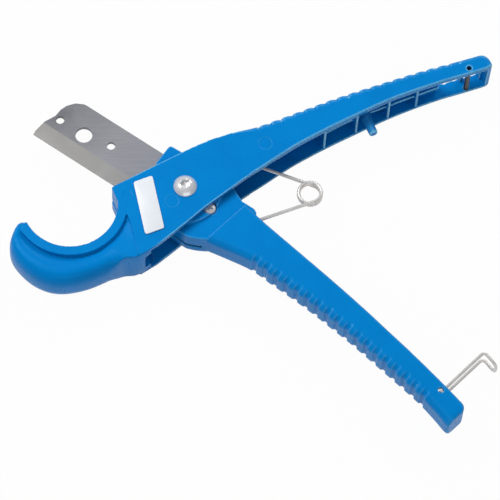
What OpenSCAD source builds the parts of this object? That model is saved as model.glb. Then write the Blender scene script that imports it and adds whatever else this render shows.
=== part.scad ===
// Hose and tube cutter: a hooked jaw with a channelled handle, a lever that carries the blade,
// a torsion spring between the two and a wire latch at the free end.
// The tool lies flat on its rear cheek. The pivot axis stands at the origin, +X runs along the
// handle and +Z points to the front cheek. The cutter is drawn fully open.

/* [Body] */
// Thickness over the two cheeks
body_t = 21; // [19.6:0.2:25]
// Thickness over the end of the handle
handle_end_t = 17.6; // [17:0.2:19]
// Wall of each cheek
cheek_wall = 2.6; // [2.2:0.1:2.9]
// Wall along the back of the handle
back_wall = 2.5; // [2.2:0.1:2.6]
// Pivot to the end of the handle
handle_len = 151.8; // [140:0.2:170]
// Height of the back above the pivot
back_rise = 17.4; // [16.8:0.1:18.4]
// Bore of the jaw
jaw_d = 42.5; // [38:0.5:43]
// Jaw centre behind the pivot
jaw_back = 50.7; // [50:0.1:52]
// Jaw centre above the pivot
jaw_up = 11.3; // [10.8:0.1:12]
// Width of the flat lip round the jaw
lip_w = 4.3; // [3.5:0.1:5]
// Wall between the jaw and the space for the lever head
throat_wall = 4; // [3.2:0.1:4.4]
// Thickness of the back over the latch
thin_back = 1.5; // [1.2:0.1:1.8]
// Height of one grip ridge above its groove
ridge_h = 0.9; // [0.5:0.1:1.2]
// Grip ridges on the handle
body_ridges = 15; // [10:1:16]

/* [Stiffeners in the handle] */
// Thickness of a cross rib
rib_t = 1.1; // [0.8:0.1:1.6]
// Thickness of the lengthways web
web_t = 1.2; // [0.8:0.1:1.8]
// Web edge above the rim
web_recess = 1.8; // [1:0.1:2.5]
// Root diameter of the stop peg
peg_root_d = 5; // [4:0.1:6]
// Tip diameter of the stop peg
peg_tip_d = 4; // [3:0.1:4.6]
// How far the peg stands below the rim
peg_stand = 7.8; // [6:0.1:8]

/* [Lever] */
// Thickness of the lever's handle
lever_t = 14; // [13.6:0.1:14.4]
// Thickness of the lever's head
head_t = 13; // [12.6:0.1:13.4]
// Pivot to the end of the lever
lever_len = 162.5; // [155:0.5:170]
// Height of the lever's inner edge over its axis
lever_rise = 16.6; // [16:0.1:17.2]
// Wall of the lever's channel
lever_wall = 2; // [1.8:0.1:2.1]
// Radius of the round part of the head
head_r = 19.2; // [18:0.1:20]
// Radius of the raised ring that bears on the cheek
bearing_r = 16.6; // [16:0.1:17.4]
// Grip grooves on the lever
lever_grooves = 19; // [14:1:20]
// Angle of the lever when open
open_angle = 67.6; // [67:0.1:68.2]

/* [Blade] */
// Blade thickness
blade_t = 2; // [1.5:0.1:2.2]
// Height of the blade's middle over the rear cheek
blade_mid = 8.6; // [8:0.1:9]
// Pivot to the blade's tip
blade_reach = 74.4; // [70:0.2:75]
// Pivot to the cutting edge
edge_drop = 13.6; // [12.5:0.1:13.8]
// Pivot to the blade's back
spine_drop = 12.7; // [11:0.1:13]
// Pivot to the root of the blade
root_len = 19.6; // [18.5:0.1:20]
// Angle between the blade and the lever
blade_kink = 11; // [10:0.1:12]
// Large hole near the tip
blade_hole_d = 7.8; // [6:0.1:8]
// Small holes
small_hole_d = 3.9; // [3.4:0.1:4.4]

/* [Pivot] */
// Outer diameter of the sleeve nut
sleeve_d = 8; // [7:0.1:8.6]
// Diameter of the screw in the sleeve
pivot_screw_d = 6; // [5:0.1:6.4]
// Head of the pivot screw
pivot_head_d = 10.6; // [9.6:0.1:12]
// Height of the screw head
pivot_head_h = 2.9; // [2.4:0.1:3.3]
// Flange of the sleeve nut
flange_d = 14; // [12:0.1:16]
// Thickness of the flange
flange_t = 1.6; // [1.2:0.1:1.8]

/* [Blade screw] */
// Shank diameter
screw_d = 3; // [2.5:0.1:3.2]
// Head diameter
screw_head_d = 5.5; // [5:0.1:5.8]
// Head height
screw_head_h = 1.8; // [1.5:0.1:1.9]
// Nut across its flats
nut_af = 5.5; // [5:0.1:5.8]
// Nut height
nut_h = 2.4; // [1.8:0.1:2.5]

/* [Spring] */
// Wire of the spring
spring_wire = 1.4; // [1.2:0.1:1.5]
// Mean radius of the coil
coil_r = 4.6; // [4:0.1:5.2]
// Step from one turn to the next
coil_step = 1.86; // [1.85:0.01:2.1]
// Coil centre in front of the pivot
coil_x = 52.2; // [50:0.1:54]
// Coil centre below the pivot
coil_drop = 20.5; // [19:0.1:22]

/* [Latch] */
// Wire of the latch
latch_wire = 1.5; // [1.2:0.1:1.7]
// Distance between the two legs
latch_span = 7.7; // [7:0.1:8]
// Length of a leg
latch_leg = 28; // [26:0.2:30]
// Length of the hooked end
latch_hook_len = 8.2; // [7.8:0.1:8.6]
// Hole for the latch wire
latch_hole_d = 2.5; // [2.2:0.1:2.8]
// Latch pin across the handle
latch_pin_d = 2.6; // [2:0.1:3]
// Latch pin in front of the pivot
latch_pin_x = 142.4; // [141:0.1:143.2]

/* [Name plate] */
// Width of the bare plate
plate_w = 9.1; // [7:0.1:10]
// Length of the bare plate
plate_h = 26; // [22:0.2:27]
// Thickness of the bare plate
plate_t = 0.7; // [0.4:0.1:1.2]

/* [Hidden] */

// Overrun of every cut past the face that it opens
over = 1;
// Gap of a piece that rests against another
rest_gap = 0.3;
// Radial gap of a part that turns
run_gap = 0.08;
// Radial gap of a part that is pressed or screwed in
fit_gap = 0.02;
// Gap on each side of the blade
slot_gap = 0.2;
fn_round = 64;
fn_small = 32;

mid = body_t / 2;
jaw_r = jaw_d / 2;
jaw = [-jaw_back, jaw_up];
throat_x = -jaw_back + jaw_r + throat_wall;
join_x = 30;
end_wall = 2.2;
end_round = 1.4;
taper = (body_t - handle_end_t) / 2;
back_fillet = 2.4;
rim_bevel = 0.5;
// Step by which the handle's skin stays inside the head's faces where the two run together
seam = 0.05;

// Back of the handle: places in shares of handle_len, heights in shares of back_rise
back_shares = [[-0.194, 0.69], [0.03, 0.937], [0.115, 1], [0.19, 0.985], [0.27, 0.945],
               [0.4, 0.95], [0.53, 0.93], [0.68, 0.89], [0.82, 0.83], [0.9, 0.765], [1, 0.7]];
// Rim of the channel, in the same shares
rim_shares = [[-0.2, -1.44], [-0.034, -0.94], [0.028, -0.735], [0.12, -0.49], [0.17, -0.355],
              [0.235, -0.224], [0.3, -0.08], [0.36, 0.04], [0.46, 0.172], [0.56, 0.27],
              [0.69, 0.375], [0.83, 0.405], [0.92, 0.385], [1, 0.34]];
// First and last ridge along the handle, in shares of handle_len
ridge_span_shares = [0.276, 0.862];
// Cross ribs and peg along the handle, in shares of handle_len
rib_shares = [0.456, 0.564, 0.672, 0.765];
peg_share = 0.6;
web_end_share = 0.84;
// The two windows in the back near the end, in shares of handle_len
window_shares = [[0.849, 0.906], [0.923, 0.97]];
window_w = 10.4;
// Outer edge of the hook: angle round the jaw, distance in shares of the jaw's radius
hook_shares = [[174, 1.24], [180, 1.34], [188, 1.46], [198, 1.6], [211, 1.735], [224, 1.815],
               [235, 1.857], [244, 1.853], [255, 1.825], [270, 1.76], [284, 1.745], [296, 1.8],
               [308, 1.7], [320, 1.42], [330, 1.27]];
// Section of the hook from the lip outwards: width and half thickness as shares
section_shares = [[0, 0.8], [0.1, 0.79], [0.24, 0.85], [0.42, 0.89], [0.6, 0.86], [0.76, 0.76],
                  [0.89, 0.58], [0.97, 0.33], [1, 0]];
// Angles round the jaw at which the flat lip starts, over which the tip rounds off and over which
// the section of the tip turns into that of the hook
lip_angle = 183;
tip_round = 9;
tip_blend = 12;
// Left edge of the flat cheek and its lower corner, in shares of jaw_back and back_rise
cheek_shares = [[-0.6, -1.42], [-0.622, -1.24], [-0.574, -0.2], [-0.66, 0]];
corner_round = 1.6;

// Lever outlines: places in shares of lever_len, heights in shares of lever_rise
outer_shares = [[0.14, -0.66], [0.215, -0.38], [0.28, -0.15], [0.35, -0.03], [0.42, 0.07],
                [0.49, 0.15], [0.56, 0.205], [0.63, 0.255], [0.735, 0.29], [0.88, 0.32],
                [0.94, 0.26], [1, 0.17]];
inner_shares = [[0.12, 0.87], [0.21, 0.856], [0.34, 0.904], [0.48, 0.976], [0.61, 1],
                [0.68, 0.976], [0.79, 0.946], [0.91, 0.898], [1, 0.845]];
groove_span_shares = [0.3, 0.905];
// Head of the lever: corner, bearing edge and nose as points in shares of head_r
stop_edge_shares = [[0.73, 0.865], [-0.807, 0.64]];
head_shares = [[-1.09, 0.573], [-0.99, 0.04], [-0.6, -0.76], [0.2, -0.94], [0.76, -0.86],
               [0.93, -0.83], [1.06, -0.755], [1.18, -0.665], [1.32, -0.5], [1.32, 0.7],
               [1.15, 0.755]];
bump_shares = [[1.1, 0.6], [1.1, 0.757], [1.46, 0.828], [1.58, 0.79], [1.6, 0.7]];
stop_edge = stop_edge_shares * head_r;
stop_along = (stop_edge[1] - stop_edge[0]) / norm(stop_edge[1] - stop_edge[0]);
stop_out = [stop_along[1], -stop_along[0]];
lever_fillet = 3.4;
lever_bevel = 0.6;
lever_end_round = 3;
bearing_h = 1.1;
pocket_start_share = 0.158;
pocket_end_share = 0.215;
pocket_floor = 4;
lever_rib_shares = [0.36, 0.48, 0.66, 0.78];
lever_rib_drop = 4;

// Blade: tip outline in shares of blade_reach and of the drop to the edge or the spine
tip_edge_shares = [[1, 1], [1.004, 0.85], [0.993, 0.4], [0.977, 0.2], [0.962, 0]];
tip_spine_shares = [[0.96, 0.31], [0.946, 0.57], [0.913, 0.83], [0.866, 0.985], [0.85, 1]];
root_shares = [[-0.62, -1], [-1, -0.55], [-1, 1]];
far_hole_share = 0.741;
hole_step = 13.2;
third_hole_rise = 2.6;
grind_w = 7.6;
edge_w = 1.6;
edge_t = 0.35;
grind_t = 0.9;

bore_d = sleeve_d + 2 * run_gap;
boss_d = 20;
boss_h = 1.1;
flange_gap = 0.1;
socket_af = 4;
socket_depth = 1.8;
screw_x = 14;
screw_y = 1.6;
recess_gap = 0.45;
latch_share = 0.91;
latch_drop = 3;
pin_rise_share = 0.47;
latch_bend = 1.7;
latch_corner = 2.2;
latch_turn = 97;
latch_lean = 1.2;
latch_sides = 10;
loop_corner = 2.6;

coil_turns = 2;
upper_leg_angle = 136;
coil_rings = 8;
coil_sides = 6;

function smooth(u) = u * u * (3 - 2 * u);
function polar(r, a) = [r * cos(a), r * sin(a)];
function turned(p, a) = [p[0] * cos(a) - p[1] * sin(a), p[0] * sin(a) + p[1] * cos(a)];

// Smooth curve through the points of a table, and its height at x
function span_at(t, x, i = 0) = i >= len(t) - 2 || x < t[i + 1][0] ? i : span_at(t, x, i + 1);
function slope_at(t, i) =
    let (a = max(i - 1, 0), b = min(i + 1, len(t) - 1)) (t[b][1] - t[a][1]) / (t[b][0] - t[a][0]);
function curve(t, x) =
    let (
        i = span_at(t, x),
        w = t[i + 1][0] - t[i][0],
        u = (x - t[i][0]) / w,
        rise = t[i + 1][1] - t[i][1]
    )
    t[i][1] + rise * smooth(u)
        + w * u * (1 - u) * ((1 - u) * slope_at(t, i) - u * slope_at(t, i + 1));

function back_y(x) = back_rise * curve(back_shares, x / handle_len);
function rim_y(x) = back_rise * curve(rim_shares, x / handle_len);
function roof_y(x) = back_y(x) - back_wall - ridge_h * smooth(clamped((x - join_x) / join_x));
function outer_y(x) = lever_rise * curve(outer_shares, x / lever_len);
function inner_y(x) = lever_rise * curve(inner_shares, x / lever_len);
function hook_r(a) = jaw_r * curve(hook_shares, a);
function half_t(x) = mid - seam - taper * max(x - join_x, 0) / (handle_len - join_x);

function lerp(a, b, t) = a + (b - a) * t;
function clamped(u) = min(max(u, 0), 1);

// Depth under the crest of a body ridge and of a lever groove, over one pitch
function ridge_dip(u) = ridge_h * pow(abs(2 * pow(u, 0.8) - 1), 2.4);
function groove_dip(u) = ridge_h * smooth(clamped(u / 0.12)) * smooth(clamped((0.5 - u) / 0.14));
function ridge_places(span, n, steps) =
    [for (i = [0:n - 1]) for (u = steps) [lerp(span[0], span[1], (i + u) / n), u]];

// A closed skin over a row of rings, each a list of as many points; the ends are convex
module skin(rings) {
    n = len(rings[0]);
    m = len(rings);
    points = [for (ring = rings) each ring];
    sides = [for (i = [0:m - 2]) for (j = [0:n - 1])
        let (k = (j + 1) % n)
        each [[i * n + j, i * n + k, (i + 1) * n + k], [i * n + j, (i + 1) * n + k, (i + 1) * n + j]]];
    first = [[for (j = [n - 1:-1:0]) j]];
    last = [[for (j = [0:n - 1]) (m - 1) * n + j]];
    polyhedron(points = points, faces = concat(sides, first, last), convexity = 6);
}

// Rings of wire along a path, each turned as little as it can be from the one before
function wire_rings(path, d, sides, i = 0, side = [1, 0, 0]) =
    let (
        ahead = path[min(i + 1, len(path) - 1)] - path[max(i - 1, 0)],
        t = ahead / norm(ahead),
        lean = side - (side * t) * t,
        u = lean / norm(lean),
        v = cross(t, u),
        ring = [for (k = [0:sides - 1])
            let (c = polar(d / 2, -360 * k / sides)) path[i] + c[0] * u + c[1] * v]
    )
    i == len(path) - 1 ? [ring] : concat([ring], wire_rings(path, d, sides, i + 1, u));

// Section of a handle across its length: x along it, y from its open side to its round side
// low and high are its edges, half its half thickness, r the fillet and b the bevel
function handle_ring(x, low, high, half, r, b) =
    let (side = sign(high - low), front = half * side)
    concat(
        [[x, low, mid + front - side * b], [x, low + side * b, mid + front]],
        [for (a = [0:30:90])
            [x, high - side * r * (1 - sin(a)), mid + front - side * r * (1 - cos(a))]],
        [for (a = [90:-30:0])
            [x, high - side * r * (1 - sin(a)), mid - front + side * r * (1 - cos(a))]],
        [[x, low + side * b, mid - front], [x, low, mid - front + side * b]]
    );

// The hooked jaw: a lofted beam that swells away from a flat lip
module hook_beam() {
    start = lip_angle + 1;
    steps = concat([for (t = [84, 68, 46, 23]) [start - tip_round * sin(t), cos(t)]],
                   [for (a = [start:4.9:start + 146]) [a, 1]]);
    halves = [for (s = steps)
        let (
            a = s[0],
            full = s[1],
            blend = smooth(clamped((a - lip_angle) / tip_blend)),
            r_in = jaw_r - over / 2 + blend * lip_w * 0.6,
            r_out = hook_r(a),
            r_mid = (jaw_r + r_out) / 2
        )
        [for (q = section_shares)
            let (
                h = mid * full * lerp(min(1, 1.12 * q[1]), q[1], blend),
                r = lerp(r_mid, lerp(r_in, r_out, q[0]), full)
            )
            concat(jaw + polar(r, a), mid - h)]];
    skin([for (half = halves)
        concat(half, [for (i = [len(half) - 2:-1:0]) [half[i][0], half[i][1], body_t - half[i][2]]])]);
}

// Flat lip that follows the jaw
module lip() {
    arc = [for (a = [lip_angle:6:lip_angle + 150]) a];
    linear_extrude(height = body_t)
        polygon(concat([for (a = arc) jaw + polar(jaw_r + lip_w, a)],
                       [for (i = [len(arc) - 1:-1:0]) jaw + polar(jaw_r - over / 2, arc[i])]));
}

// Outline of the flat cheeks round the pivot
module cheek_outline() {
    xs = [for (i = [0:8]) lerp(throat_x - throat_wall, join_x, i / 8)];
    back = [for (x = xs) [x, back_y(x)]];
    rim = [for (i = [8:-1:1]) let (x = lerp(-0.515 * jaw_back, join_x, i / 8)) [x, rim_y(x)]];
    left = [for (p = cheek_shares) [p[0] * jaw_back, p[1] * back_rise]];
    offset(r = corner_round, $fn = fn_small)
        offset(delta = -corner_round)
            polygon(concat(back, rim, left));
}

// Handle behind the head, with ridges along its back
module handle_skin() {
    span = ridge_span_shares * handle_len;
    ridged = ridge_places(span, body_ridges, [0, 0.05, 0.16, 0.36, 0.62, 0.86]);
    plain = [for (x = [join_x - 2 * corner_round, lerp(join_x, span[0], 0.5), span[0] - rib_t]) [x, 0.5]];
    tail = [for (s = [0.02, 0.4, 0.86]) [lerp(span[1], handle_len, s), 0.5]];
    body_rings = [for (s = concat(plain, ridged, tail))
        let (
            x = s[0],
            grown = smooth(clamped((x - join_x) / (span[0] - join_x))),
            dip = x < span[0] || x > span[1] ? 0 : ridge_dip(s[1])
        )
        handle_ring(x, rim_y(x) + seam, back_y(x) - seam - dip, half_t(x),
                    lerp(rim_bevel, back_fillet, grown), rim_bevel)];
    end_rings = [for (t = [0, 45, 90])
        let (
            x = handle_len - end_round * (1 - sin(t)),
            in = end_round * (1 - cos(t))
        )
        handle_ring(x, rim_y(x) + seam + in / 3, back_y(x) - seam - in, half_t(x) - in / 3,
                    back_fillet, rim_bevel)];
    skin(concat(body_rings, end_rings));
}

// Space between the cheeks, from the lever head to the end wall
module channel() {
    along = turned(stop_along, -open_angle);
    start = turned(stop_edge[0] + rest_gap * stop_out, -open_angle);
    lean = along[0] / along[1];
    top_x = start[0] + lean * (back_rise - start[1]);
    low_x = start[0] + lean * (roof_y(top_x) - start[1]);
    far = handle_len - end_wall;
    roof = [for (i = [0:14]) let (x = lerp(low_x, far, i / 14)) [x, roof_y(x)]];
    open_y = 2 * back_rise;
    intersection() {
        linear_extrude(height = body_t)
            polygon(concat([[throat_x, -open_y], [throat_x, open_y],
                            [start[0] + lean * (open_y - start[1]), open_y]],
                           roof, [[far, -open_y]]));
        rotate([90, 0, 0])
            linear_extrude(height = 4 * open_y, center = true)
                polygon([[throat_x - over, cheek_wall], [join_x, cheek_wall],
                         [handle_len, cheek_wall + taper], [handle_len, body_t - cheek_wall - taper],
                         [join_x, body_t - cheek_wall], [throat_x - over, body_t - cheek_wall]]);
    }
}

// Slot that lets the closing blade pass through the throat and into the hook
module blade_slot() {
    reach = norm([blade_reach, edge_drop]) + slot_gap * 3;
    floor_y = -edge_drop - 4 * slot_gap;
    slot_t = blade_t + 2 * slot_gap;
    translate([0, 0, blade_mid - slot_t / 2])
        intersection() {
            cylinder(h = slot_t, r = reach, $fn = 2 * fn_round);
            translate([-reach, floor_y, 0])
                cube([reach + throat_x + over, 2 * reach, slot_t]);
        }
}

// Cross ribs, lengthways web and stop peg in the channel
module stiffeners() {
    for (s = rib_shares)
        translate([s * handle_len - rib_t / 2, rim_y(s * handle_len) + rest_gap, cheek_wall])
            cube([rib_t, roof_y(s * handle_len) - rim_y(s * handle_len), body_t - 2 * cheek_wall]);
    x0 = rib_shares[0] * handle_len;
    x1 = web_end_share * handle_len;
    xs = [for (i = [0:8]) lerp(x0, x1, i / 8)];
    translate([0, 0, mid - web_t / 2])
        linear_extrude(height = web_t)
            polygon(concat([for (x = xs) [x, roof_y(x) + over / 2]],
                           [for (i = [7:-1:0]) [xs[i], rim_y(xs[i]) + web_recess]]));
    px = peg_share * handle_len;
    peg_top = roof_y(px) + over / 2;
    peg_h = peg_top - rim_y(px) + peg_stand;
    translate([px, peg_top, mid])
        rotate([90, 0, 0])
            cylinder(h = peg_h, d1 = peg_root_d, d2 = peg_tip_d, $fn = fn_small);
}

// Windows in the back of the handle that the latch hooks through, and a thinner back round them
module windows() {
    x0 = window_shares[0][0] * handle_len;
    x1 = handle_len - end_wall;
    xs = [for (i = [0:6]) lerp(x0, x1, i / 6)];
    translate([0, 0, mid - window_w / 2])
        linear_extrude(height = window_w)
            polygon(concat([for (x = xs) [x, back_y(x) - thin_back]],
                           [for (i = [6:-1:0]) [xs[i], roof_y(xs[i]) - over]]));
    for (w = window_shares)
        translate([w[0] * handle_len, roof_y(w[0] * handle_len) - over, mid - window_w / 2])
            cube([(w[1] - w[0]) * handle_len, back_wall + ridge_h + 3 * over, window_w]);
}

// Faint round marks that the mould leaves on the front cheek
module mould_marks() {
    mark_shares = [[-0.5, 0.34, 0.25], [-0.16, -0.26, 0.34], [0.82, 0.38, 0.34]];
    depth = cheek_wall / 20;
    for (m = mark_shares)
        translate([m[0] * jaw_back, m[1] * back_rise, body_t - depth])
            cylinder(h = depth + over, d = m[2] * back_rise, $fn = fn_small);
}

// One moulding: hooked jaw, two cheeks and the channelled handle
module jaw_body() {
    through = body_t + 2 * over;
    color([0.03, 0.5, 0.82]) {
        difference() {
            union() {
                linear_extrude(height = body_t) cheek_outline();
                lip();
                hook_beam();
                handle_skin();
            }
            translate([jaw[0], jaw[1], -over]) cylinder(h = through, r = jaw_r, $fn = 2 * fn_round);
            channel();
            blade_slot();
            windows();
            mould_marks();
            translate([0, 0, -over]) cylinder(h = through, d = sleeve_d + 2 * fit_gap, $fn = fn_round);
            translate([0, 0, -over])
                cylinder(h = over + flange_t + flange_gap, d = flange_d + 4 * fit_gap, $fn = fn_round);
            translate([latch_pin_x, latch_pin_y(), -over])
                cylinder(h = through, d = latch_pin_d + 2 * fit_gap, $fn = fn_small);
        }
        bearing_boss();
        stiffeners();
    }
}

// Ring on the inner face of the rear cheek that the lever bears on
module bearing_boss() {
    sunk = flange_gap;
    difference() {
        translate([0, 0, cheek_wall - sunk]) cylinder(h = boss_h + sunk, d = boss_d, $fn = fn_round);
        cylinder(h = mid, d = sleeve_d + 2 * fit_gap, $fn = fn_round);
    }
}
function latch_pin_y() = pin_rise_share * back_rise;

// Disc round the pivot, cut off just inside the stop edge
module clipped_disc(r) {
    inset = -rest_gap * stop_out;
    beyond = 2 * head_r;
    difference() {
        circle(r = r, $fn = 2 * fn_round);
        polygon([for (p = [stop_edge[0], stop_edge[1] + beyond * stop_along,
                           stop_edge[1] + beyond * (stop_along + stop_out),
                           stop_edge[0] + beyond * stop_out]) p + inset]);
    }
}

// Head of the lever: a round boss with a nose, a raised ring, a corner and a straight stop edge
module lever_head() {
    translate([0, 0, mid - head_t / 2])
        linear_extrude(height = head_t) {
            clipped_disc(head_r);
            offset(r = corner_round, $fn = fn_small)
                offset(delta = -corner_round)
                    polygon([for (p = concat(stop_edge_shares, head_shares)) p * head_r]);
            polygon([for (p = bump_shares) p * head_r]);
        }
    translate([0, 0, mid]) linear_extrude(height = head_t / 2 + bearing_h) clipped_disc(bearing_r);
}

// Handle of the lever: a bar with a rounded outer edge and grooves across it
module lever_skin() {
    span = groove_span_shares * lever_len;
    half = lever_t / 2;
    start = 1.24 * head_r;
    grooved = ridge_places(span, lever_grooves, [0, 0.12, 0.36, 0.5, 0.75]);
    plain = [for (i = [0:5]) [lerp(start, span[0], i / 6), 1]];
    tail = [for (s = [0.02, 0.5]) [lerp(span[1], lever_len, s), 1]];
    bar = [for (s = concat(plain, grooved, tail))
        let (dip = s[0] < span[0] || s[0] > span[1] ? 0 : groove_dip(s[1]))
        handle_ring(s[0], inner_y(s[0]), outer_y(s[0]) + dip, half, lever_fillet, lever_bevel)];
    end_rings = [for (t = [0, 30, 60, 90])
        let (
            x = lever_len - lever_end_round * (1 - sin(t)),
            in = lever_end_round * (1 - cos(t))
        )
        handle_ring(x, inner_y(x) - in, outer_y(x) + in / 2, half - in / 2, lever_fillet, lever_bevel)];
    skin(concat(bar, end_rings));
}

// Channel in the lever, with a shallower pocket for the spring at its upper end
module lever_channel() {
    x0 = pocket_start_share * lever_len;
    x1 = pocket_end_share * lever_len;
    x2 = lever_len - end_wall - lever_bevel;
    xs = [for (i = [0:12]) lerp(x1, x2, i / 12)];
    top = 2 * lever_rise;
    translate([0, 0, mid - lever_t / 2 + lever_wall])
        linear_extrude(height = lever_t - 2 * lever_wall)
            polygon(concat([[x0, top], [x0, pocket_floor], [x1, pocket_floor]],
                           [for (x = xs) [x, min(outer_y(x) + ridge_h + back_wall, inner_y(x) - 4 * over)]],
                           [[x2, top]]));
}

// Ribs across the lever's channel
module lever_ribs() {
    lap = fit_gap;
    for (s = lever_rib_shares)
        let (
            x = s * lever_len,
            foot = outer_y(x) + ridge_h + back_wall / 2
        )
        translate([x, foot, mid - lever_t / 2 + lever_wall - lap])
            cube([rib_t, inner_y(x) - lever_rib_drop - foot, lever_t - 2 * lever_wall + 2 * lap]);
}

// Slot that holds the blade, open towards its tip and its cutting edge
module blade_seat() {
    snug = blade_t + 2 * seam;
    rotate([0, 0, 180 + blade_kink])
        translate([-root_len - slot_gap, -spine_drop - slot_gap, blade_mid - snug / 2])
            cube([3 * head_r, 3 * head_r, snug]);
}

// Hole, head recess and nut pocket of the blade screw
module screw_cuts() {
    translate([screw_x, screw_y, 0]) {
        cylinder(h = body_t, d = screw_d + 2 * fit_gap, $fn = fn_small);
        translate([0, 0, screw_seat()])
            cylinder(h = body_t, d = screw_head_d + 2 * recess_gap, $fn = fn_small);
        cylinder(h = nut_top() + fit_gap, d = (nut_af + 2 * fit_gap) / cos(30), $fn = 6);
    }
}

// One moulding: the head that carries the blade, and the channelled handle
module lever_handle() {
    color([0.03, 0.5, 0.82])
        rotate([0, 0, -open_angle]) {
            difference() {
                union() {
                    lever_head();
                    lever_skin();
                }
                lever_channel();
                blade_seat();
                screw_cuts();
                cylinder(h = body_t, d = bore_d, $fn = fn_round);
                cylinder(h = cheek_wall + boss_h + rest_gap, d = boss_d + 4 * rest_gap, $fn = fn_round);
                translate([latch_x(), latch_y(), 0]) cylinder(h = body_t, d = latch_hole_d, $fn = fn_small);
            }
            lever_ribs();
        }
}
function screw_seat() = mid + head_t / 2 + bearing_h - screw_head_h - recess_gap / 2;
function nut_top() = mid - head_t / 2 + nut_h + run_gap;
function latch_x() = latch_share * lever_len;
function latch_y() = inner_y(latch_x()) - latch_drop;

// Blade in its own frame: +X to the tip, +Y to the cutting edge
module blade_plate() {
    tip = concat([for (p = tip_edge_shares) [p[0] * blade_reach, p[1] * edge_drop]],
                 [for (p = tip_spine_shares) [p[0] * blade_reach, -p[1] * spine_drop]]);
    root = [for (p = root_shares) [p[0] * root_len, p[1] * (p[1] < 0 ? spine_drop : edge_drop)]];
    far = far_hole_share * blade_reach;
    small = [[-screw_u(), screw_v()], [far - hole_step, -third_hole_rise], [far + hole_step, 0]];
    difference() {
        translate([0, 0, -blade_t / 2])
            linear_extrude(height = blade_t) polygon(concat(tip, root));
        translate([0, 0, -blade_t]) cylinder(h = 2 * blade_t, d = bore_d, $fn = fn_round);
        translate([far, 0, -blade_t]) cylinder(h = 2 * blade_t, d = blade_hole_d, $fn = fn_round);
        for (p = small)
            translate([p[0], p[1], -blade_t])
                cylinder(h = 2 * blade_t, d = small_hole_d, $fn = fn_small);
        for (face = [0, 1]) mirror([0, 0, face]) grind();
    }
}
// The screw hole as it lies in the blade's frame
function screw_u() = screw_x * cos(blade_kink) + screw_y * sin(blade_kink);
function screw_v() = screw_x * sin(blade_kink) - screw_y * cos(blade_kink);

// What the grinding takes off one face: a shallow bevel and a steeper one at the edge
module grind() {
    translate([-root_len - over, 0, 0])
        rotate([90, 0, 90])
            linear_extrude(height = root_len + blade_reach + 3 * over)
                polygon([[edge_drop - grind_w, blade_t / 2], [edge_drop - edge_w, grind_t / 2],
                         [edge_drop, edge_t / 2], [edge_drop + over, edge_t / 2],
                         [edge_drop + over, blade_t], [edge_drop - grind_w, blade_t]]);
}

module blade() {
    color([0.72, 0.73, 0.76])
        rotate([0, 0, 180 + blade_kink - open_angle])
            translate([0, 0, blade_mid]) blade_plate();
}

// Round-headed screw with a six-sided socket
module pivot_screw() {
    shank = body_t - flange_t - cheek_wall - fit_gap;
    dome_r = (pow(pivot_head_d / 2, 2) + pow(pivot_head_h, 2)) / (2 * pivot_head_h);
    rim_h = pivot_head_h / 6;
    color([0.8, 0.81, 0.83])
        translate([0, 0, body_t])
            difference() {
                union() {
                    translate([0, 0, -shank])
                        cylinder(h = shank + fit_gap, d = pivot_screw_d, $fn = fn_round);
                    intersection() {
                        translate([0, 0, fit_gap])
                            cylinder(h = pivot_head_h, d = pivot_head_d, $fn = fn_round);
                        translate([0, 0, pivot_head_h + rim_h / 2 - dome_r])
                            sphere(r = dome_r, $fn = fn_round);
                    }
                }
                translate([0, 0, pivot_head_h - socket_depth])
                    cylinder(h = socket_depth + over, d = socket_af / cos(30), $fn = 6);
            }
}

// Threaded sleeve that the lever turns on, let into the rear cheek
module pivot_sleeve() {
    top = body_t - fit_gap;
    sunk = flange_gap / 2;
    color([0.7, 0.71, 0.73])
        difference() {
            union() {
                translate([0, 0, sunk]) cylinder(h = flange_t, d = flange_d, $fn = fn_round);
                translate([0, 0, sunk]) cylinder(h = top - sunk, d = sleeve_d, $fn = fn_round);
            }
            translate([0, 0, flange_t])
                cylinder(h = body_t, d = pivot_screw_d + 2 * fit_gap, $fn = fn_round);
            translate([0, 0, -over])
                cylinder(h = over + flange_t / 2, d = socket_af / cos(30), $fn = 6);
        }
}

// Pan-headed screw that holds the blade in the lever
module blade_screw() {
    seat = screw_seat();
    foot = mid - head_t / 2 + rest_gap;
    arm = screw_head_d * 0.55;
    wing = screw_head_d * 0.14;
    color([0.8, 0.81, 0.83])
        rotate([0, 0, -open_angle])
            translate([screw_x, screw_y, 0])
                difference() {
                    union() {
                        translate([0, 0, foot])
                            cylinder(h = seat - foot, d = screw_d, $fn = fn_small);
                        intersection() {
                            translate([0, 0, seat])
                                cylinder(h = screw_head_h, d = screw_head_d, $fn = fn_round);
                            translate([0, 0, seat + screw_head_h - screw_head_d])
                                sphere(r = screw_head_d, $fn = fn_round);
                        }
                    }
                    for (a = [0, 90])
                        rotate([0, 0, a + 20])
                            translate([-arm / 2, -wing / 2, seat + screw_head_h / 3])
                                cube([arm, wing, screw_head_h]);
                }
}

module blade_nut() {
    color([0.7, 0.71, 0.73])
        rotate([0, 0, -open_angle])
            translate([screw_x, screw_y, nut_top() - nut_h])
                difference() {
                    cylinder(h = nut_h, d = nut_af / cos(30), $fn = 6);
                    translate([0, 0, -over])
                        cylinder(h = nut_h + 2 * over, d = screw_d + 2 * fit_gap, $fn = fn_small);
                }
}

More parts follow.
